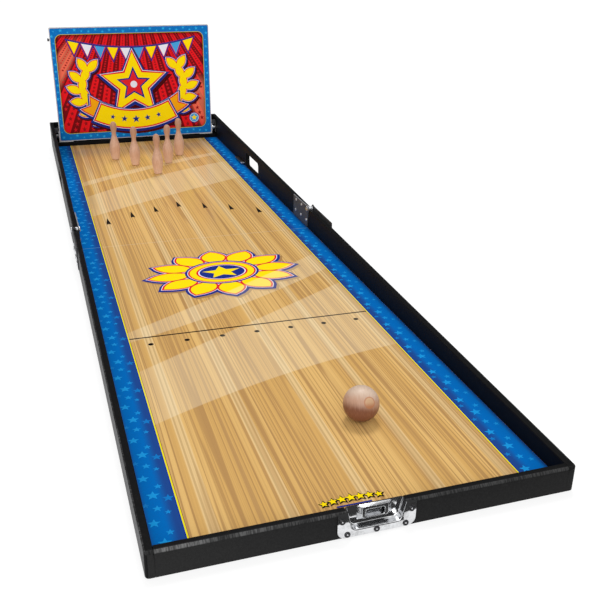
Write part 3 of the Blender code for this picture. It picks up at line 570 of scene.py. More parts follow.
def sideLines(low, high):
    # brown, yellow and dark blue from the inside out, on one half of the lane
    line = lane["lineX"]
    return [(strips([(-line - outer, -line - inner, low, high),
                     (line + inner, line + outer, low, high)]), lane[colour])
            for inner, outer, colour in marks["sideLines"]]


def markPlaces():
    return marks["firstX"] + marks["stepX"] * np.arange(len(marks["arrowY"]))


def dotsAndFoulLine():
    # both run straight from a left to a right height
    spots = markPlaces()
    rows = np.linspace(marks["dotLeft"], marks["dotRight"], len(spots))
    end, half = lane["lineX"] - marks["foulIn"], marks["foulHalf"]
    left, right = marks["foulLeft"], marks["foulRight"]
    line = np.array([[(-end, left - half), (end, right - half), (end, right + half),
                      (-end, left + half)]])
    dots = placed(discOutline(1.0, 24), np.c_[spots, rows], marks["dotRadius"])
    return [(line, lane["ink"]), (dots, lane["ink"])]


def laneArrows():
    # a long dart with a notched foot, one for each dot
    half, length = marks["arrowHalf"], marks["arrowLength"]
    dart = np.array([(-half, 0), (0, half * 0.8), (half, 0), (half * 0.82, length * 0.30),
                     (0, length), (-half * 0.82, length * 0.30)])
    return [(placed(dart, np.c_[markPlaces(), marks["arrowY"]]), lane["ink"])]


def emblemRims(fill, wide=1.0):
    return ((0.0128 * wide, palette["navy"]), (0.0066 * wide, palette["pale"]),
            (0.0048 * wide, palette["red"]), (0, fill))


rosette = {"centre": (0.006, -0.240), "widen": 1.28, "petals": 12, "petalFoot": 0.056,
           "petalLength": 0.074, "petalWidth": 0.043, "disc": 0.058, "star": 0.036,
           "shadowGrow": 0.0110, "shadowDrop": (0.004, -0.012), "shadow": tone(166, 126, 78)}


def laneEmblem():
    # a fairground rosette, wider than deep: a ring of petals round a disc with a star
    centre = np.array(rosette["centre"])
    widen = np.array([rosette["widen"], 1.0])
    turns = 90 + np.arange(rosette["petals"]) * 360 / rosette["petals"]
    leaf = leafOutline(rosette["petalLength"], rosette["petalWidth"])
    petals = list(placed(leaf, polar(rosette["petalFoot"], turns), 1.0, turns) * widen + centre)
    layers = [(grown(petal, rosette["shadowGrow"])[None] + rosette["shadowDrop"],
               rosette["shadow"]) for petal in petals]
    layers += rimmed(petals, emblemRims(palette["yellow"], 0.92), (0.0, -0.003))
    disc = discOutline(rosette["disc"]) * widen
    layers += rimmed([disc + centre], emblemRims(palette["yellow"], 0.85))
    for share, colour in ((0.80, "red"), (0.74, "pale"), (0.70, "navy")):
        layers.append(((disc * share + centre)[None], palette[colour]))
    star = starOutline(rosette["star"], rosette["star"] * 0.45) * widen + centre
    layers.append((star[None], palette["yellow"]))
    return layers


badge = {"x": -0.012, "y": -1.1045, "step": 0.0135, "fall": 0.0004, "star": 0.0080,
         "shrink": 0.0006, "rim": 0.0016, "drop": (0.0006, -0.0010), "dashHalf": 0.026,
         "dashLow": 0.0165, "dashHigh": 0.0135, "dashRound": 0.0014}


def frontBadge():
    # a short row of rimmed stars over a blue dash at the player's end; the row falls by the
    # square of the distance from its middle
    place = np.arange(-3, 4)
    spots = np.c_[badge["x"] + badge["step"] * place, badge["y"] - badge["fall"] * place ** 2]
    sizes = badge["star"] - badge["shrink"] * np.abs(place)
    stars = [starOutline(size, size * 0.46) + spot for size, spot in zip(sizes, spots)]
    layers = rimmed(stars, ((badge["rim"], lane["ink"]), (0, palette["yellow"])), badge["drop"])
    dash = roundedBox(badge["x"] - badge["dashHalf"], badge["x"] + badge["dashHalf"],
                      badge["y"] - badge["dashLow"], badge["y"] - badge["dashHigh"],
                      badge["dashRound"], 4)
    layers.append((dash[None], palette["navy"]))
    return layers


print("lane art worked out")

# Sign print

# places in metres; a beam is its left and right edge over the distance below the rays' point,
# and its upper and lower end
sign = {"left": -0.2600, "right": 0.2560, "low": 0.0520, "high": 0.3945, "round": 0.022,
        "rayTop": 0.658, "rayPitch": 0.064, "raysAside": 11, "rayEdge": (0.245, 0.255),
        "rimShade": (0.016, 0.0), "upperPart": (0.20, 0.39), "rimRange": (0.25, 0.75),
        "beamSide": 0.05, "beamStart": 0.07, "beamEnd": 0.09, "beamShare": 0.62,
        "beams": ((-0.80, -0.56, 0.262, 0.530), (0.37, 0.62, 0.400, 0.640)),
        "bright": tone(230, 26, 34), "dark": tone(118, 16, 22), "beam": tone(244, 132, 100),
        "shade": tone(40, 6, 8), "roughness": 0.25}
rayShare = sign["rayPitch"] / (sign["rayTop"] - sign["low"])  # a ray's width over its distance


def signPrint():
    # rays from a point above the sign: the angle's remainder picks bright or dark red
    material, shader, place, (x, y, z) = startMaterial("signPrint", sign["bright"],
                                                       sign["roughness"])
    down = sign["rayTop"] - z
    fan = x / down
    turn = (fan * (1 / rayShare)).folded(0.5)
    colour = blend(rise(turn, *sign["rayEdge"]), sign["bright"], sign["dark"])
    # two pale beams along the rays, fading out at both ends
    side, start, end = sign["beamSide"], sign["beamStart"], sign["beamEnd"]
    for left, right, low, high in sign["beams"]:
        across = rise(fan, left, left + side) * rise(fan, right, right - side)
        along = rise(down, low, low + start) * rise(down, high, high - end)
        colour = blend(across * along * sign["beamShare"], colour, sign["beam"])
    # a dark rim, stronger towards the top
    middleX, middleZ = (sign["left"] + sign["right"]) / 2, (sign["low"] + sign["high"]) / 2
    toSide = sign["right"] - middleX - abs(x - middleX)
    toTop = sign["high"] - middleZ - abs(z - middleZ)
    rim = rise(toSide.maths("MINIMUM", toTop), *sign["rimShade"])
    stronger = ranged(rise(z, *sign["upperPart"]), *sign["rimRange"])
    colour = blend(rim * stronger, colour, sign["shade"])
    finishPrint(shader, place, colour, lane["specular"])
    return material


rayStar = {"rows": 34, "wide": 0.0285, "tall": 0.0290, "margin": 0.006, "rowGap": 0.008,
           "lowest": 0.002, "dark": tone(148, 16, 24), "bright": tone(206, 26, 34)}


def rayStars():
    # stars as on a floor seen in perspective: a row's distance below the rays' point is one over
    # an evenly stepped number, star widths go with the distance and heights with its square
    margin = rayStar["margin"]
    nearest = 1 / (sign["rayTop"] - sign["low"] - margin - rayStar["rowGap"])
    farthest = 1 / (sign["rayTop"] - sign["high"] + margin)
    down = 1 / np.linspace(nearest, farthest, rayStar["rows"])
    rays = np.arange(-sign["raysAside"], sign["raysAside"] + 1)
    gridRay, gridDown = (part.ravel() for part in np.meshgrid(rays, down))
    wide, tall = rayStar["wide"] / 2 * gridDown, rayStar["tall"] * gridDown ** 2
    size = np.stack([wide, tall], axis=-1)[:, None, :]
    z = sign["rayTop"] - gridDown
    layers = []
    for offset, colour in ((0.0, "dark"), (0.5, "bright")):
        x = (gridRay + offset) * rayShare * gridDown
        points = starOutline()[None] * size + np.stack([x, z], axis=-1)[:, None, :]
        inside = ((x - wide > sign["left"] + margin) & (x + wide < sign["right"] - margin)
                  & (z - tall > sign["low"] + rayStar["lowest"]))
        layers.append((points[inside], rayStar[colour]))
    return layers


signFrame = {"edgeIn": 0.0002, "edgeRound": 0.0045, "lineWidth": 0.0016, "thinWidth": 0.0030,
             "step": 0.0235, "wideFrom": 0.012, "wideTo": 0.008, "tallFrom": 0.030,
             "tallTo": 0.020, "wave": 0.0042, "ripple": 0.0024, "smallStar": 0.0032,
             "starMore": 0.0034, "blue": tone(8, 112, 190), "line": tone(206, 190, 40),
             "thinLine": tone(92, 20, 22), "star": tone(42, 168, 228)}


def signBorder():
    # blue frame between the rounded line and the sheet's edge, with scattered stars: they sway
    # about the frame's middle and their sizes change, both by sines of their number
    low, high, edge = printLow, printHigh, signFrame["edgeIn"]
    inner = roundedBox(sign["left"], sign["right"], sign["low"], sign["high"], sign["round"])
    outer = roundedBox(low.x + edge, high.x - edge, low.z + edge, high.z - edge,
                       signFrame["edgeRound"])
    thin = grown(inner, -signFrame["lineWidth"])
    core = grown(inner, -signFrame["thinWidth"])
    layers = [(ringQuads(inner, outer), signFrame["blue"]),
              (ringQuads(thin, inner), signFrame["line"]),
              (ringQuads(core, thin), signFrame["thinLine"])]
    wide = np.arange(low.x + signFrame["wideFrom"], high.x - signFrame["wideTo"],
                     signFrame["step"])
    tall = np.arange(low.z + signFrame["tallFrom"], high.z - signFrame["tallTo"],
                     signFrame["step"])
    wave = np.sin(np.arange(len(wide)) * 2.4) * signFrame["wave"]
    ripple = np.sin(np.arange(len(tall)) * 2.1) * signFrame["ripple"]
    spots = np.concatenate([np.c_[wide, (sign["high"] + high.z) / 2 + wave],
                            np.c_[wide, (sign["low"] + low.z) / 2 - wave],
                            np.c_[(sign["left"] + low.x) / 2 + ripple, tall],
                            np.c_[(sign["right"] + high.x) / 2 - ripple, tall]])
    more = np.abs(np.sin(np.arange(len(spots)) * 1.7))
    size = signFrame["smallStar"] + signFrame["starMore"] * more
    layers.append((placed(starOutline(), spots, size), signFrame["star"]))
    return layers


crestMiddle = np.array((-0.002, 0.218))


def shadowOf(shape, growth, drop):
    return (grown(shape, growth) + drop)[None], tone(74, 6, 10)


flag = {"count": 10, "half": 0.222, "top": 0.376, "sag": 0.030, "drop": 0.042, "gap": 0.08,
        "cordHalf": 0.0022, "navyRim": 0.0064, "redRim": 0.0028, "rimDrop": (0, -0.002),
        "fills": ("yellow", "pale", "sky")}


def bunting():
    # flags between neighbouring points of a cord that sags as a parabola
    steps = np.linspace(-1, 1, flag["count"] + 1)
    top = np.c_[steps * flag["half"], flag["top"] - flag["sag"] * (1 - steps ** 2)]
    gap = (top[1:] - top[:-1]) * flag["gap"]
    tips = (top[1:] + top[:-1]) / 2 - (0, flag["drop"])
    flags = list(np.stack([top[1:] - gap, top[:-1] + gap, tips], axis=1))
    layers = rimmed(flags, ((flag["navyRim"], palette["navy"]), (flag["redRim"], palette["red"])),
                    flag["rimDrop"])
    for number, shape in enumerate(flags):
        layers.append((shape[None], palette[flag["fills"][number % 3]]))
    half = (0, flag["cordHalf"])
    layers.append((np.concatenate([top - half, (top + half)[::-1]])[None], palette["navy"]))
    return layers


# angles in degrees along the ellipse, and how the leaves of a pair lean from it
laurel = {"arc": (-56, 30), "pairs": 6, "x": 0.184, "z": 0.122, "drop": 0.012, "heading": 62,
          "leans": (-34, 42), "length": 0.053, "width": 0.0265, "shadow": 0.008,
          "shadowDrop": (0.004, -0.008), "rimDrop": (0, -0.0015),
          "rims": ((0.0078, "navy"), (0.0040, "pale"), (0.0026, "red"), (0, "yellow"))}


def laurels():
    # leaves in pairs along an arc of an ellipse on each side
    stems = np.linspace(*laurel["arc"], laurel["pairs"])
    leaf = leafOutline(laurel["length"], laurel["width"])
    leaves = []
    for side in (-1, 1):
        feet = (polar(1.0, stems) * (laurel["x"] * side, laurel["z"]) + crestMiddle
                - (0, laurel["drop"]))
        for lean in laurel["leans"]:
            turn = stems + laurel["heading"] + lean
            leaves += list(placed(leaf, feet, 1.0, turn if side > 0 else 180 - turn))
    layers = [shadowOf(shape, laurel["shadow"], laurel["shadowDrop"]) for shape in leaves]
    rims = [(distance, palette[colour]) for distance, colour in laurel["rims"]]
    return layers + rimmed(leaves, rims, laurel["rimDrop"])


bigStar = {"outer": 0.112, "inner": 0.0505, "hub": 0.0120, "shadow": 0.017,
           "shadowDrop": (0.006, -0.014), "rimDrop": (0.0, -0.004), "rims": 1.15,
           "cores": ((0.56, "navy"), (0.44, "red"))}


def crestStar():
    star = starOutline(bigStar["outer"], bigStar["inner"])
    layers = [shadowOf(star, bigStar["shadow"], crestMiddle + bigStar["shadowDrop"])]
    layers += rimmed([star + crestMiddle], emblemRims(palette["yellow"], bigStar["rims"]),
                     bigStar["rimDrop"])
    for share, colour in bigStar["cores"]:
        layers.append(((star * share + crestMiddle)[None], palette[colour]))
    layers.append(((discOutline(bigStar["hub"], 32) + crestMiddle)[None], palette["pale"]))
    return layers


# angles in degrees about a pivot above the star
band = {"rise": 0.176, "radius": 0.300, "width": 0.058, "arc": (-116, -64), "endIn": 0.008,
        "ends": ((-126, -107), (-73, -54)), "notch": 4, "shadow": 0.014,
        "shadowDrop": (0.005, -0.010), "rimDrop": (0.0, -0.003), "starArc": (-106, -74),
        "stars": (0.0100, 0.0125, 0.0150, 0.0125, 0.0100)}


def ribbon():
    # a blank band on a wide arc with a row of stars, its two ends behind it
    pivot = crestMiddle + (0, band["rise"])
    radius, half, drop = band["radius"], band["width"] / 2, band["rimDrop"]
    ends = [bannerOutline(radius - band["endIn"], half * 1.8, start, end, band["notch"]) + pivot
            for start, end in band["ends"]]
    angle = np.linspace(*band["arc"], 30)
    body = np.concatenate([polar(radius + half, angle), polar(radius - half, angle)[::-1]]) + pivot
    layers = [shadowOf(body, band["shadow"], band["shadowDrop"])]
    layers += rimmed(ends, emblemRims(palette["orange"], 0.85), drop)
    layers += rimmed([body], emblemRims(palette["yellow"]), drop)
    spots = np.linspace(*band["starArc"], len(band["stars"]))
    stars = placed(starOutline(), polar(radius, spots) + pivot, band["stars"], spots + 90)
    layers.append((stars, palette["navy"]))
    return layers


roundel = {"place": (0.212, 0.088), "radius": 0.0150, "navyRim": 0.0042, "paleRim": 0.0018,
           "starOuter": 0.0120, "starInner": 0.0052}


def cornerRoundel():
    spot = np.array(roundel["place"])
    layers = rimmed([discOutline(roundel["radius"], 32) + spot],
                    ((roundel["navyRim"], palette["navy"]), (roundel["paleRim"], palette["pale"]),
                     (0, palette["sky"])))
    star = starOutline(roundel["starOuter"], roundel["starInner"]) + spot
    layers.append((star[None], palette["yellow"]))
    return layers


def borderStrips(low, high):
    edge, line = laneEdge - border["edgeIn"], lane["lineX"]
    return [(strips([(-edge, -line, low, high), (line, edge, low, high)]), border["blue"])]


laneMaterial = lanePrint()
borderMaterial = borderPrint()
laneInk = printedInk("laneInk", roughness=0.30, gleaming=True)
signMaterial = signPrint()
signInk = printedInk("signInk", roughness=0.25, gleaming=False)

# what the prints keep free at the fold and at the ends of the lane
clear = {"border": 0.0002, "borderEnd": 0.0001, "line": 0.0005, "star": 0.003, "starEnd": 0.002}
printPiece("nearBorders", borderStrips(nearEnd + clear["borderEnd"], -clear["border"]), onLane,
           borderMaterial, "near_half", inkLift / 2)
printPiece("farBorders", borderStrips(clear["border"], farEnd - clear["borderEnd"]), onLane,
           borderMaterial, "far_half", inkLift / 2)
printPiece("nearLaneArt", sideLines(nearEnd, -clear["line"])
           + borderStars(nearEnd + clear["starEnd"], -clear["star"])
           + dotsAndFoulLine() + laneEmblem() + frontBadge(),
           onLane, laneInk, "near_half")
printPiece("farLaneArt", sideLines(clear["line"], farEnd)
           + borderStars(clear["star"], farEnd - clear["starEnd"]) + laneArrows(),
           onLane, laneInk, "far_half")
printPiece("signArt", rayStars() + signBorder() + bunting() + laurels() + crestStar() + ribbon()
           + cornerRoundel(), onSign, signInk, "sign")
print("lane and sign printed")


# Plain finishes

# steps are start, end and, third, strength; edge wear and highlight and the painted side sheen
# go from least to most; the outer-face step and the joint are measured from the walls' faces
case = {"paint": tone(9, 9, 10), "fleck": tone(20, 20, 21), "edge": tone(118, 118, 118),
        "sideSheenGrey": tone(112, 112, 113), "endSheenGrey": tone(46, 46, 46), "roughness": 0.55,
        "fine": (0.46, 0.72, 0.5), "broad": (0.50, 0.72, 0.5), "endHatch": (0.40, 0.62),
        "sideHatch": (0.42, 0.66), "patches": (0.30, 0.62), "leftHighlightX": (0.06, -0.29),
        "endSheenX": (0.05, -0.305), "outerFaceStep": (-0.0006, -0.0002), "wallJoint": (0.0007, -0.0007),
        "endRubHighlight": 0.0046, "sideRubHighlight": 0.0030, "endWearHighlight": (0.3, 0.9), "jointWearHighlight": (0.2, 1.0),
        "sideWearHighlight": (0.10, 0.45), "leftHighlight": (0.14, 1.0), "patchWearHighlight": (0.22, 1.0),
        "sideSheen": (0.5, 1.0), "endSheenFleck": 0.9, "endSheenLeft": 0.35}


def casePaint():
    # black paint: fine and broad flecks, and worn outer edges with a painted highlight. The
    # lighter edge falls off with the distance from the end walls' top outer edges and the side
    # walls' slanted ones
    material, shader, place, (x, y, z) = startMaterial("caseBlack", case["paint"],
                                                       case["roughness"])
    fine = noise(place, scale=620.0, detail=3.0, roughness=0.6)
    cloud = noise(place, scale=95.0, detail=3.0, roughness=0.6)
    colour = laid(case["paint"], fine, case["fine"], case["fleck"])
    colour = laid(colour, cloud, case["broad"], case["fleck"])
    # rim heights of the end walls and, along a straight slant, of the side walls
    rim = y.maths("GREATER_THAN", 0.0) * (backRim - frontRim) + frontRim
    slant = y * ((backRim - frontRim) / (2 * halfLength)) + (backRim + frontRim) / 2

    def nearEdge(across, outer, top, reach):
        # 1 on the edge where across meets outer and the height meets top, 0 from reach away
        a, b = abs(across) - outer, z - top
        return rise((a * a + b * b).maths("SQRT"), reach, reach * 0.72)

    hatch = rise(noise((x * 760.0, y * 60.0, z * 60.0), detail=2.0), *case["endHatch"])
    sideHatch = rise(noise((x * 60.0, y * 420.0, z * 60.0), detail=2.0), *case["sideHatch"])
    between = ranged(rise(abs(x) - wallInside, *case["wallJoint"]), *case["jointWearHighlight"])
    ends = (nearEdge(y, halfLength, rim, case["endRubHighlight"])
            * (ranged(hatch, *case["endWearHighlight"]) * between))
    sides = (nearEdge(x, wallOutside, slant, case["sideRubHighlight"])
             * ranged(sideHatch, *case["sideWearHighlight"]))
    # painted sheen: grey on the outer sides, fainter and speckled on the end walls, more at left
    sideSheen = rise(abs(x) - wallOutside, *case["outerFaceStep"]) * ranged(cloud, *case["sideSheen"])
    colour = blend(sideSheen, colour, case["sideSheenGrey"])
    onEndFace = rise(abs(y) - halfLength, *case["outerFaceStep"])
    endSheen = fine * case["endSheenFleck"] + rise(x, *case["endSheenX"]) * case["endSheenLeft"]
    colour = blend(onEndFace * endSheen, colour, case["endSheenGrey"])
    # the worn edges are patchy, and their painted highlight grows towards the left
    leftLit = ranged(rise(x, *case["leftHighlightX"]), *case["leftHighlight"])
    patchy = rise(noise(place, scale=14.0, detail=2.0), *case["patches"]) * leftLit
    colour = blend(ends.larger(sides) * ranged(patchy, *case["patchWearHighlight"]), colour, case["edge"])
    finishSurface(shader, colour, fine + hatch * ends, strength=0.16, distance=0.0003,
                  level=0.08, roughness=fine * 0.14 + (case["roughness"] - 0.07))
    return material


def painted(name, colour, roughness, fleck, scale, bumpStrength, level):
    # even paint with a fine fleck in the colour and a matching bump
    material, shader, place, axes = startMaterial(name, colour, roughness)
    grainy = noise(place, scale, detail=3.0, roughness=0.6)
    mixed = laid(colour, grainy, (0.45, 0.72, 0.6), fleck)
    mixed = laid(mixed, noise(place, scale=9.0, detail=2.0), (0.50, 0.72, 0.35), fleck)
    finishSurface(shader, mixed, grainy, bumpStrength, distance=0.0004, level=level,
                  roughness=grainy * 0.12 + (roughness - 0.06))
    return material


def brushed(name, colour, roughness, metallic, scale, strength, dents):
    # metal with fine scratches drawn out across the sheet, cloudy roughness and, where dents
    # isn't 0, slow dents as deep as that
    material, shader, place, (x, y, z) = startMaterial(name, colour, roughness, metallic)
    scratch = noise((x * scale, y * scale, z * (scale * 12.0)), detail=3.0, roughness=0.6)
    cloud = noise(place, scale=120.0, detail=3.0, roughness=0.6)
    dull = tuple(c * 0.72 for c in colour[:3]) + (1.0,)
    height, distance = scratch, 0.0002
    if dents:
        dent = noise(place, scale=55.0, detail=1.0) * dents
        height, strength, distance = scratch * (distance * strength) + dent, 1.0, 1.0
    finishSurface(shader, blend(rise(cloud, 0.42, 0.75), colour, dull), height, strength, distance,
                  roughness=scratch * 0.10 + cloud * 0.14 + (roughness - 0.12))
    return material


plates = {"fall": 0.0127, "topHighlight": (0.0694, 0.0704, 0.7), "clouds": (0.42, 0.70, 0.5)}


def platedSheet(name, colour, cloudTone, highlightTone):
    # dull dark plating with cloudy patches; a painted highlight line along the top edge, which
    # falls away from the fold by a small slope
    material, shader, place, (x, y, z) = startMaterial(name, colour, roughness=0.50,
                                                       metallic=0.10)
    cloud = noise(place, scale=150.0, detail=3.0, roughness=0.6)
    mixed = laid(colour, cloud, plates["clouds"], cloudTone)
    # painted highlight along the top edge
    mixed = laid(mixed, abs(y) * plates["fall"] + z, plates["topHighlight"], highlightTone)
    finishSurface(shader, mixed, cloud, strength=0.10, distance=0.0002, level=0.06,
                  roughness=cloud * 0.2 + 0.40)
    return material


def twoToneSteel(name, first, second, direction, edge, soft):
    # sheet or turned steel of one tone up to a place, measured along a direction, and of
    # another beyond it
    material, shader, place, (x, y, z) = startMaterial(name, first, roughness=0.30,
                                                       metallic=0.8)
    along = x * direction[0] + y * direction[1]
    fine = noise((x * 2600.0, y * 30.0, z * 30.0), detail=2.0)
    colour = blend(rise(along, edge - soft, edge + soft), first, second)
    finishSurface(shader, colour, fine, strength=0.12, distance=0.0001,
                  roughness=fine * 0.16 + 0.22)
    return material


ledge = {"brightLength": 0.0090, "soft": 0.0014}
barrel = {"radius": 0.0062, "round": 0.0014, "groove": 0.0007, "bands": (0.27, 0.73),
          "grooveWidth": 0.0005, "rows": 60, "around": 40, "darkLength": 0.0075, "soft": 0.0012}
# brushed metals: colour, roughness, metallic, scratch scale, bump strength, depth of dents
metals = {"darkSteel": (tone(92, 92, 94), 0.46, 0.75, 90.0, 0.10, 0.0),
          "zincSteel": (tone(206, 208, 212), 0.30, 1.0, 140.0, 0.10, 0.0),
          "rivetZinc": (tone(222, 223, 226), 0.34, 0.6, 200.0, 0.05, 0.0),
          "outerZinc": (tone(236, 237, 240), 0.34, 0.1, 200.0, 0.05, 0.0),
          "rivetDarkReflection": (tone(62, 62, 64), 0.24, 0.7, 200.0, 0.03, 0.0),
          "shoeZinc": (tone(232, 233, 236), 0.42, 0.25, 140.0, 0.06, 0.0),
          "chromePlate": (tone(226, 227, 229), 0.08, 1.0, 60.0, 0.02, 0.00022),
          "catchChrome": (tone(226, 227, 229), 0.19, 1.0, 60.0, 0.02, 0.00012)}
metal = {name: brushed(name, *values) for name, values in metals.items()}

underBlack = painted("floorBlack", tone(15, 15, 15), roughness=0.62, fleck=tone(25, 25, 24),
                     scale=320.0, bumpStrength=0.25, level=0.2)
boardEdge = painted("boardEdge", tone(206, 208, 210), roughness=0.50, fleck=tone(188, 190, 192),
                    scale=260.0, bumpStrength=0.10, level=0.4)
plateSteel = platedSheet("plateSteel", tone(82, 84, 90), cloudTone=tone(70, 72, 78),
                         highlightTone=tone(158, 160, 164))
outerPlateSteel = platedSheet("outerPlateSteel", tone(62, 62, 64), cloudTone=tone(50, 50, 52),
                              highlightTone=tone(84, 84, 86))
ledgeSteel = twoToneSteel("ledgeSteel", tone(246, 247, 250), tone(100, 100, 102),
                          direction=(0, 1), soft=ledge["soft"],
                          edge=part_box("sign_ledge")[0].y + ledge["brightLength"])
barrelSteel = twoToneSteel("barrelSteel", tone(206, 208, 212), tone(60, 60, 62),
                           direction=(-1, 0), soft=barrel["soft"],
                           edge=-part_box("hinge_sleeve_left")[0].x - barrel["darkLength"])

finishes = {
    casePaint(): ("near_wall_left", "near_wall_right", "front_wall", "far_wall_left",
                  "far_wall_right", "back_wall", "end_batten"),
    underBlack: ("near_floor", "far_floor"),
    laneMaterial: ("near_lane_panel", "far_lane_panel"),
    boardEdge: ("sign_board",),
    signMaterial: ("sign_print_sheet",),
    plateSteel: ("hinge_inner_plate_left", "hinge_inner_plate_right"),
    outerPlateSteel: ("hinge_outer_plate_left", "hinge_outer_plate_right"),
    ledgeSteel: ("sign_ledge",),
    # the left sign pivot is dark steel, the right one zinc: painted shade on the left one
    metal["darkSteel"]: ("sign_bracket_left", "sign_bracket_right", "sign_knob",
                         "sign_pivot_left"),
    metal["shoeZinc"]: ("sign_shoe_left", "sign_shoe_right"),
    metal["zincSteel"]: ("hinge_pin_left", "hinge_pin_right", "sign_pivot_right", "latch_hook",
                         "latch_spindle"),
    metal["chromePlate"]: ("latch_wing",),
}
for material, names in finishes.items():
    for name in names:
        nodes[name].data.materials.clear()
        nodes[name].data.materials.append(material)
print("finishes on the model's own nodes")


# Turned pieces

def gridFaces(rows, around, closed=True):
    # quads between neighbouring points of a grid whose second direction, when closed, runs round
    index = np.arange(rows * around).reshape(rows, around)
    if closed:
        index = np.c_[index, index[:, :1]]
    return np.stack([index[:-1, :-1], index[:-1, 1:], index[1:, 1:], index[1:, :-1]],
                    axis=-1).reshape(-1, 4)


def closeAndSmooth(mesh, facing=None):
    # doubles merge, so end rows close to poles, and faces turn outwards; an open shell turns to
    # the side that it faces, by the sum of each face's area times its normal
    bm = bmesh.new()
    bm.from_mesh(mesh)
    bmesh.ops.remove_doubles(bm, verts=bm.verts, dist=0.00001)
    bmesh.ops.recalc_face_normals(bm, faces=bm.faces)
    if facing is not None:
        towards = sum(face.calc_area() * face.normal.dot(Vector(facing)) for face in bm.faces)
        if towards < 0:
            bmesh.ops.reverse_faces(bm, faces=bm.faces)
    bm.to_mesh(mesh)
    bm.free()
    mesh.shade_smooth()


def smoothCurve(keys, count):
    # Catmull-Rom curve through the key points: a cubic on each span whose end slopes are half the
    # distance between the neighbours on both sides
    keys = np.array(keys, float)
    padded = np.vstack([2 * keys[0] - keys[1], keys, 2 * keys[-1] - keys[-2]])
    place = np.linspace(0, len(keys) - 1, count)
    span = np.minimum(place.astype(int), len(keys) - 2)
    t = (place - span)[:, None]
    p0, p1, p2, p3 = (padded[span + k] for k in range(4))
    return 0.5 * (2 * p1 + (p2 - p0) * t + (2 * p0 - 5 * p1 + 4 * p2 - p3) * t ** 2
                  + (3 * p1 - p0 - 3 * p2 + p3) * t ** 3)


def turnedGrid(profile, foot, axis=(0, 0, 1), around=48):
    # radius and height carried round an axis: foot + height * axis + radius * (cos, sin)
    axis = np.array(axis, float) / np.linalg.norm(axis)
    side = np.cross(axis, (0.0, 1.0, 0.0) if abs(axis[1]) < 0.9 else (1.0, 0.0, 0.0))
    side = side / np.linalg.norm(side)
    other = np.cross(axis, side)
    angle = np.arange(around) * 2 * np.pi / around
    ring = np.cos(angle)[:, None] * side + np.sin(angle)[:, None] * other
    return np.array(foot) + profile[:, 1, None, None] * axis + profile[:, 0, None, None] * ring


def turnedPiece(name, grid, material, body, node):
    # a closed turned solid that stands for a node
    faces = gridFaces(*grid.shape[:2]).tolist()
    piece = makeObject(name, grid.reshape(-1, 3), faces, material)
    closeAndSmooth(piece.data)
    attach(piece, body)
    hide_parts(node)


# keys of the profile are radius and height; steps are start, end and strength
pinShape = {
    "height": 0.127, "around": 56, "rows": 90,
    "keys": ((0.0000, 0.0), (0.0090, 0.0), (0.0112, 0.0010), (0.0124, 0.0040), (0.0146, 0.0150),
             (0.0164, 0.0270), (0.0172, 0.0390), (0.0162, 0.0500), (0.0132, 0.0620),
             (0.0096, 0.0730), (0.0072, 0.0815), (0.0071, 0.0885), (0.0086, 0.0965),
             (0.0103, 0.1050), (0.0106, 0.1120), (0.0092, 0.1200), (0.0052, 0.1255),
             (0.0000, 0.1270)),
    "body": tone(219, 177, 150), "grain": tone(192, 144, 116), "head": tone(170, 120, 92),
    "foot": tone(240, 202, 176), "headStep": (0.050, 0.150, 0.80),
    "footStep": (0.048, 0.010, 0.75), "lineStep": (0.42, 0.68, 0.55),
    "cloudStep": (0.45, 0.75, 0.30),
    "roughness": 0.40, "sheen": 0.25, "sheenRoughness": 0.35,
    "nodes": {"pin_front": "front_pin", "pin_middle_left": "middle_left_pin",
              "pin_middle_right": "middle_right_pin", "pin_back_left": "back_left_pin",
              "pin_back_right": "back_right_pin"},
}


def pinWood():
    # bare turned wood: lines of a noise drawn out along the grain and a fine pore bump, darker
    # towards the head, and paler towards the foot as painted light against the shade there
    material, shader, place, (x, y, z) = startMaterial("pinWood", pinShape["body"],
                                                       pinShape["roughness"])
    lines = noise((x * 420.0, y * 420.0, z * 26.0), detail=2.0, roughness=0.55)
    clouds = noise(place, scale=38.0, detail=2.0)
    colour = pinShape["body"]
    # the paler foot is painted light against the shade at the foot
    for value, step, ink in ((lines, "lineStep", "grain"), (clouds, "cloudStep", "grain"),
                             (z, "headStep", "head"), (z, "footStep", "foot")):
        colour = laid(colour, value, pinShape[step], pinShape[ink])
    shader.inputs["Sheen Weight"].default_value = pinShape["sheen"]
    shader.inputs["Sheen Roughness"].default_value = pinShape["sheenRoughness"]
    finishSurface(shader, colour, lines, strength=0.12, distance=0.0002, level=0.35)
    return material


def buildPins():
    profile = smoothCurve(pinShape["keys"], pinShape["rows"])
    profile[:, 0] = np.maximum(profile[:, 0], 0)
    profile[:, 1] = np.clip(profile[:, 1], 0, pinShape["height"])
    wood = pinWood()
    for node, body in pinShape["nodes"].items():
        low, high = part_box(node)
        foot = ((low.x + high.x) / 2, (low.y + high.y) / 2, low.z)
        turnedPiece("turned_" + node, turnedGrid(profile, foot, around=pinShape["around"]), wood,
                    body, node)


# directions of the plug, of the pale side and across it; steps are start, end and strength
ballShape = {"plugAxis": (0.13954, -0.85202, 0.50457), "plugAngle": 17.0, "groove": 0.00022,
             "grooveWidth": 0.02, "rows": 96, "around": 96, "upward": (0.115, 0.389, 0.914),
             "sideways": (0.93, -0.35, 0.03), "lean": 0.14, "streaks": 0.30, "sunk": -0.13,
             "bodyStep": (-0.34, 0.20, 1.0), "topStep": (0.16, 0.74, 1.0),
             "grainStep": (0.46, 0.68, 0.30), "plugStep": (0.20, -0.10, 1.0), "plugSoft": 0.05,
             "plugShare": 0.75, "ringStep": (0.050, 0.012, 0.75),
             "top": tone(212, 187, 166), "body": tone(194, 153, 128), "paintedShade": tone(126, 79, 61),
             "grain": tone(176, 128, 100), "ring": tone(186, 120, 76),
             "plug": tone(208, 168, 126), "roughness": 0.42}


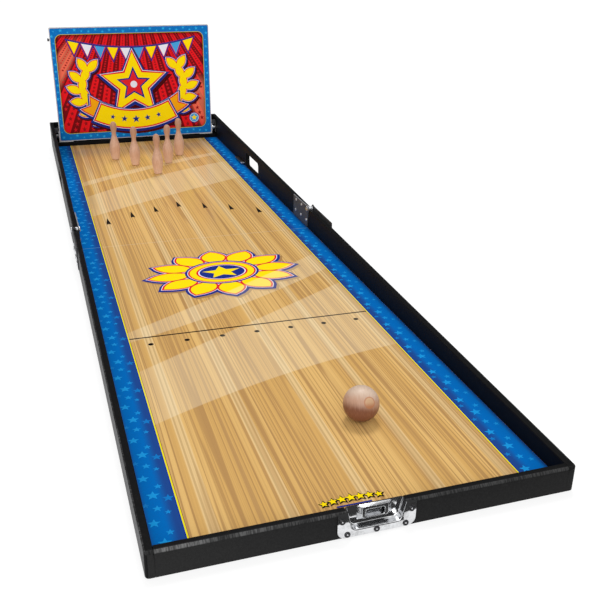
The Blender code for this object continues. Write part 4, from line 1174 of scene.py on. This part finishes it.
def ballWood(centre):
    # painted light and shade: pale above and shaded brown below a streaky line across the upward
    # axis; a plug within an angle from its own axis, darker towards the bottom, and a darker line
    # round it
    material, shader, place, axes = startMaterial("ballWood", ballShape["body"],
                                                  ballShape["roughness"])
    tree = place.tree
    away = fieldOf(tree, "VectorMath", {0: place, 1: tuple(centre)}, operation="SUBTRACT")
    unit = fieldOf(tree, "VectorMath", {0: away}, operation="NORMALIZE")

    def along(name):
        return fieldOf(tree, "VectorMath", {0: unit, 1: ballShape[name]}, output="Value",
                       operation="DOT_PRODUCT")

    upward, sideways = along("upward"), along("sideways")
    streak = noise((sideways * 13.0, upward * 1.6, 4.0), detail=2.0, roughness=0.55)
    # painted shade below the streaky line for the shaded lower half, pale top for the lit one
    level = (sideways * ballShape["lean"] + upward
             + (streak * ballShape["streaks"] + ballShape["sunk"]))
    colour = laid(ballShape["paintedShade"], level, ballShape["bodyStep"], ballShape["body"])
    colour = laid(colour, level, ballShape["topStep"], ballShape["top"])
    fine = noise((sideways * 46.0, upward * 3.0, 9.0), detail=2.0, roughness=0.6)
    colour = laid(colour, fine, ballShape["grainStep"], ballShape["grain"])
    angle = along("plugAxis").maths("ARCCOSINE")
    edge = float(np.radians(ballShape["plugAngle"]))
    plug = laid(ballShape["plug"], upward, ballShape["plugStep"], ballShape["ring"])
    onPlug = (edge, edge - ballShape["plugSoft"], ballShape["plugShare"])
    colour = laid(colour, angle, onPlug, plug)
    colour = laid(colour, abs(angle - edge), ballShape["ringStep"], ballShape["ring"])
    finishSurface(shader, colour, noise(place, scale=1500.0, detail=2.0), strength=0.08,
                  distance=0.0002, level=0.45)
    return material


def buildBall():
    # sphere about the plug's axis; its radius dips by a narrow bell curve at the plug's edge
    low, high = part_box("ball")
    centre, radius = (low + high) / 2, (high.z - low.z) / 2
    angle = np.linspace(0, np.pi, ballShape["rows"])
    fromEdge = (angle - np.radians(ballShape["plugAngle"])) / ballShape["grooveWidth"]
    dented = radius - ballShape["groove"] * np.exp(-fromEdge ** 2)
    profile = np.c_[dented * np.sin(angle), dented * np.cos(angle)]
    grid = turnedGrid(profile, tuple(centre), ballShape["plugAxis"], ballShape["around"])
    turnedPiece("turned_ball", grid, ballWood(centre), "rolling_ball", "ball")


def buildBarrels():
    # radius along the pin: rounded ends, less a bell-shaped groove at each joint of the knuckle
    radius, ease = barrel["radius"], barrel["round"]
    for label in ("left", "right"):
        node = "hinge_sleeve_" + label
        low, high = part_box(node)
        length = high.x - low.x
        along = np.linspace(0, length, barrel["rows"])
        near = np.minimum(np.minimum(along, length - along), ease)
        thick = radius - ease + np.sqrt(ease ** 2 - (ease - near) ** 2)
        for share in barrel["bands"]:
            fromBand = (along - share * length) / barrel["grooveWidth"]
            thick = thick - barrel["groove"] * np.exp(-fromBand ** 2)
        profile = np.vstack([(0, 0), np.c_[thick, along], (0, length)])
        foot = (low.x, (low.y + high.y) / 2, (low.z + high.z) / 2)
        turnedPiece("barrel_" + label, turnedGrid(profile, foot, (1, 0, 0), barrel["around"]),
                    barrelSteel, "far_half", node)


# rivet heads of the hinge plates: distance from the fold and height of each
rivets = {"inner": ((0.0065, 0.0320), (0.0525, 0.0320), (0.0985, 0.0320), (0.0480, 0.0615),
                    (0.0940, 0.0615)),
          "outer": ((0.0230, 0.0224), (0.0432, 0.0410), (0.0634, 0.0317), (0.0835, 0.0224),
                    (0.1008, 0.0410), (0.1181, 0.0317), (0.1325, 0.0224)),
          "radius": 0.00435, "height": {"inner": 0.00195, "outer": 0.0025},
          "sunk": 0.0018, "foot": -0.0001, "rings": 6, "around": 24}


def domeProfile(radius, height):
    # a quarter ellipse whose foot dips just under the surface
    return np.vstack([(radius, rivets["foot"]),
                      polar(1.0, np.linspace(0, 90, rivets["rings"])) * (radius, height)])


def domes(name, places, axis, material, body, profile):
    # a profile carried round the axis and repeated at every place
    one = turnedGrid(np.array(profile), (0, 0, 0), axis, rivets["around"])
    rows, around = one.shape[:2]
    points = (one.reshape(1, -1, 3) + np.array(places)[:, None, :]).reshape(-1, 3)
    shift = np.arange(len(places))[:, None, None] * rows * around
    faces = (gridFaces(rows, around)[None] + shift).reshape(-1, 4).tolist()
    piece = makeObject(name, points, faces, material)
    closeAndSmooth(piece.data, axis)
    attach(piece, body)


def buildHingeRivets():
    for side, label in ((-1, "left"), (1, "right")):
        for plate, direction, body, zinc in (("inner", 1, "far_half", "rivetZinc"),
                                             ("outer", -1, "near_half", "outerZinc")):
            low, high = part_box("hinge_%s_plate_%s" % (plate, label))
            outward = -side * direction
            face = (high.x if outward > 0 else low.x) - outward * rivets["sunk"]
            spots = np.array(rivets[plate])
            places = np.c_[np.full(len(spots), face), direction * spots[:, 0], spots[:, 1]]
            domes("rivetHeads_%s_%s" % (plate, label), places, (outward, 0, 0), metal[zinc],
                  body, domeProfile(rivets["radius"], rivets["height"][plate]))


buildPins()
buildBall()
buildHingeRivets()
buildBarrels()
print("pins, ball, rivet heads and hinge barrels turned")


# Pressed sheets of the latch

# rivet and core are profiles of radius and height
tray = {"sheet": 0.0014, "rivetUp": 0.0018, "flangeRound": 0.012, "border": 0.0105,
        "halfTop": 0.041, "halfLow": 0.0365, "dishRound": 0.009, "lip": 0.0013, "fillet": 0.0030,
        "edgeSunk": 0.0004, "rivetRadius": 0.0042, "rivetGap": 0.0003,
        "rivet": ((0.0043, -0.0001), (0.0043, 0.0007), (0.0038, 0.0015), (0.0030, 0.0018),
                  (0.0023, 0.0015), (0.0019, 0.0007), (0.0000, 0.0005)),
        "core": ((0.0014, -0.0001), (0.0013, 0.0009), (0.0009, 0.0013), (0.0000, 0.0015))}
catch = {"sheet": 0.0009, "foot": 0.0045, "lean": 0.0052, "round": 0.0030, "edge": 0.0011,
         "windowHalf": 0.0136, "windowHigh": 0.0058, "windowLow": 0.0172, "windowRound": 0.0030,
         "lip": ((0.0000, 0.0013), (0.0000, 0.0008), (0.0003, 0.0003), (0.0010, 0.0))}


def openOutline(halfTop, halfLow, low, rim, radius):
    # a U: slanted side down from the rim, quarter circle, foot, quarter circle, side up again
    down = np.linspace(0, 1, 14)[:, None]
    left = (1 - down) * (-halfTop, rim) + down * (-halfLow, low + radius)
    corner = polar(radius, np.linspace(180, 270, 14)) + (-halfLow + radius, low + radius)
    half = np.concatenate([left, corner[1:], [(-halfLow * 0.5, low), (0, low)]])
    return np.concatenate([half, (half * (-1, 1))[-2::-1]])


def seated(outline, depth):
    # an outline in X and Z, set at one Y
    return np.c_[outline[:, 0], np.full(len(outline), depth), outline[:, 1]]


def sheetFromRings(name, rings, closed, sheet, material, body, node):
    # a skin over the rings that faces away from the fold, given the sheet's thickness behind it
    grid = np.array(rings)
    rows, around = grid.shape[:2]
    faces = gridFaces(rows, around, closed).tolist()
    piece = makeObject(name, grid.reshape(-1, 3), faces, material)
    closeAndSmooth(piece.data, (0, grid[0, 0, 1], 0))
    wall = piece.modifiers.new("sheet", "SOLIDIFY")
    wall.thickness, wall.offset = sheet, -1.0
    solid = bpy.data.meshes.new_from_object(piece.evaluated_get(
        bpy.context.evaluated_depsgraph_get()))
    piece.modifiers.clear()
    piece.data = solid
    solid.set_sharp_from_angle(angle=np.radians(50))
    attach(piece, body)
    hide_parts(node)


def buildTray(node, body):
    # flange, rounded lip, wall, round fillet and flat floor as rings of the same outline that
    # shrink and sink; one side of the floor closes at the rim
    low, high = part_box(node)
    facing = -1 if low.y < 0 else 1
    face = max(abs(low.y), abs(high.y)) - tray["rivetUp"]
    deep = face - min(abs(low.y), abs(high.y)) - tray["sheet"]
    flange = openOutline(high.x, high.x, low.z, high.z, tray["flangeRound"])
    lip, fillet = tray["lip"], tray["fillet"]

    def dish(inset):
        return openOutline(tray["halfTop"] - inset, tray["halfLow"] - inset,
                           low.z + tray["border"] + inset, high.z, tray["dishRound"] - inset * 0.7)

    def sunk(outline, depth):
        return seated(outline, facing * (face - depth))

    rings = [sunk(flange * (1 - tray["rivetGap"] / high.x, 1), tray["edgeSunk"])]
    rings += [sunk(flange * (1 - share) + dish(-lip) * share, 0) for share in (0.02, 0.5, 1)]
    for turn in np.radians(np.linspace(15, 90, 6)):
        rings.append(sunk(dish(-lip + lip * np.sin(turn)), lip * (1 - np.cos(turn))))
    for turn in np.radians(np.linspace(0, 90, 8)):
        rings.append(sunk(dish(fillet * (1 - np.cos(turn))), deep - fillet * (1 - np.sin(turn))))
    last = dish(fillet)
    rings += [sunk(last * (1 - share) + (0, high.z * share), deep) for share in (0.3, 0.65, 1.0)]
    sheetFromRings("pressed_" + node, rings, False, tray["sheet"], metal["chromePlate"], body,
                   node)

    inset = tray["rivetRadius"] + tray["rivetGap"]
    foot = low.z + tray["border"] / 2
    side = (high.x + tray["halfTop"] + tray["sheet"]) / 2
    spread = high.x - tray["flangeRound"] - inset + tray["rivetRadius"] / 2
    upper = high.z - tray["flangeRound"] - tray["rivetGap"]
    places = [(x, facing * face, z) for x, z in ((-spread, foot), (0, foot), (spread, foot),
                                                 (-side, upper), (side, upper))]
    # painted reflection: the dark rivet rings stand for mirrored dark, the bright zinc cores for
    # glints
    for name, material, profile in (("rivets_", "rivetDarkReflection", "rivet"),
                                    ("rivetGlintCores_", "rivetZinc", "core")):
        domes(name + node, places, (0, facing, 0), metal[material], body,
              tray[profile])


def buildCatch():
    # rings outwards from the window: its turned-in lip, the flat front, a round edge and a side
    # that leans out to the floor of the tray
    low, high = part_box("keeper_catch")
    window = roundedBox(-catch["windowHalf"], catch["windowHalf"], high.z - catch["windowLow"],
                        high.z - catch["windowHigh"], catch["windowRound"], 6)
    lean, foot, edge = catch["lean"], catch["foot"], catch["edge"]

    def boss(inset):
        return roundedBox(low.x - foot + inset, high.x + foot - inset,
                          low.z - foot * 0.7 + inset * 0.8, high.z - inset * 0.05,
                          catch["round"], 6)

    rings = [seated(grown(window, growth), low.y + depth) for growth, depth in catch["lip"]]
    rings.append(seated(boss(lean + edge), low.y))
    for turn in np.radians(np.linspace(20, 80, 4)):
        rings.append(seated(boss(lean + edge * (1 - np.sin(turn))),
                            low.y + edge * (1 - np.cos(turn))))
    rings += [seated(boss(lean * (1 - share)), low.y + edge + (high.y - low.y - edge) * share)
              for share in (0.15, 0.6, 1.0)]
    sheetFromRings("pressed_keeper_catch", rings, True, catch["sheet"], metal["catchChrome"],
                   "near_half", "keeper_catch")


buildTray("keeper_tray", "near_half")
buildTray("latch_tray", "far_half")
buildCatch()
print("latch sheets pressed")
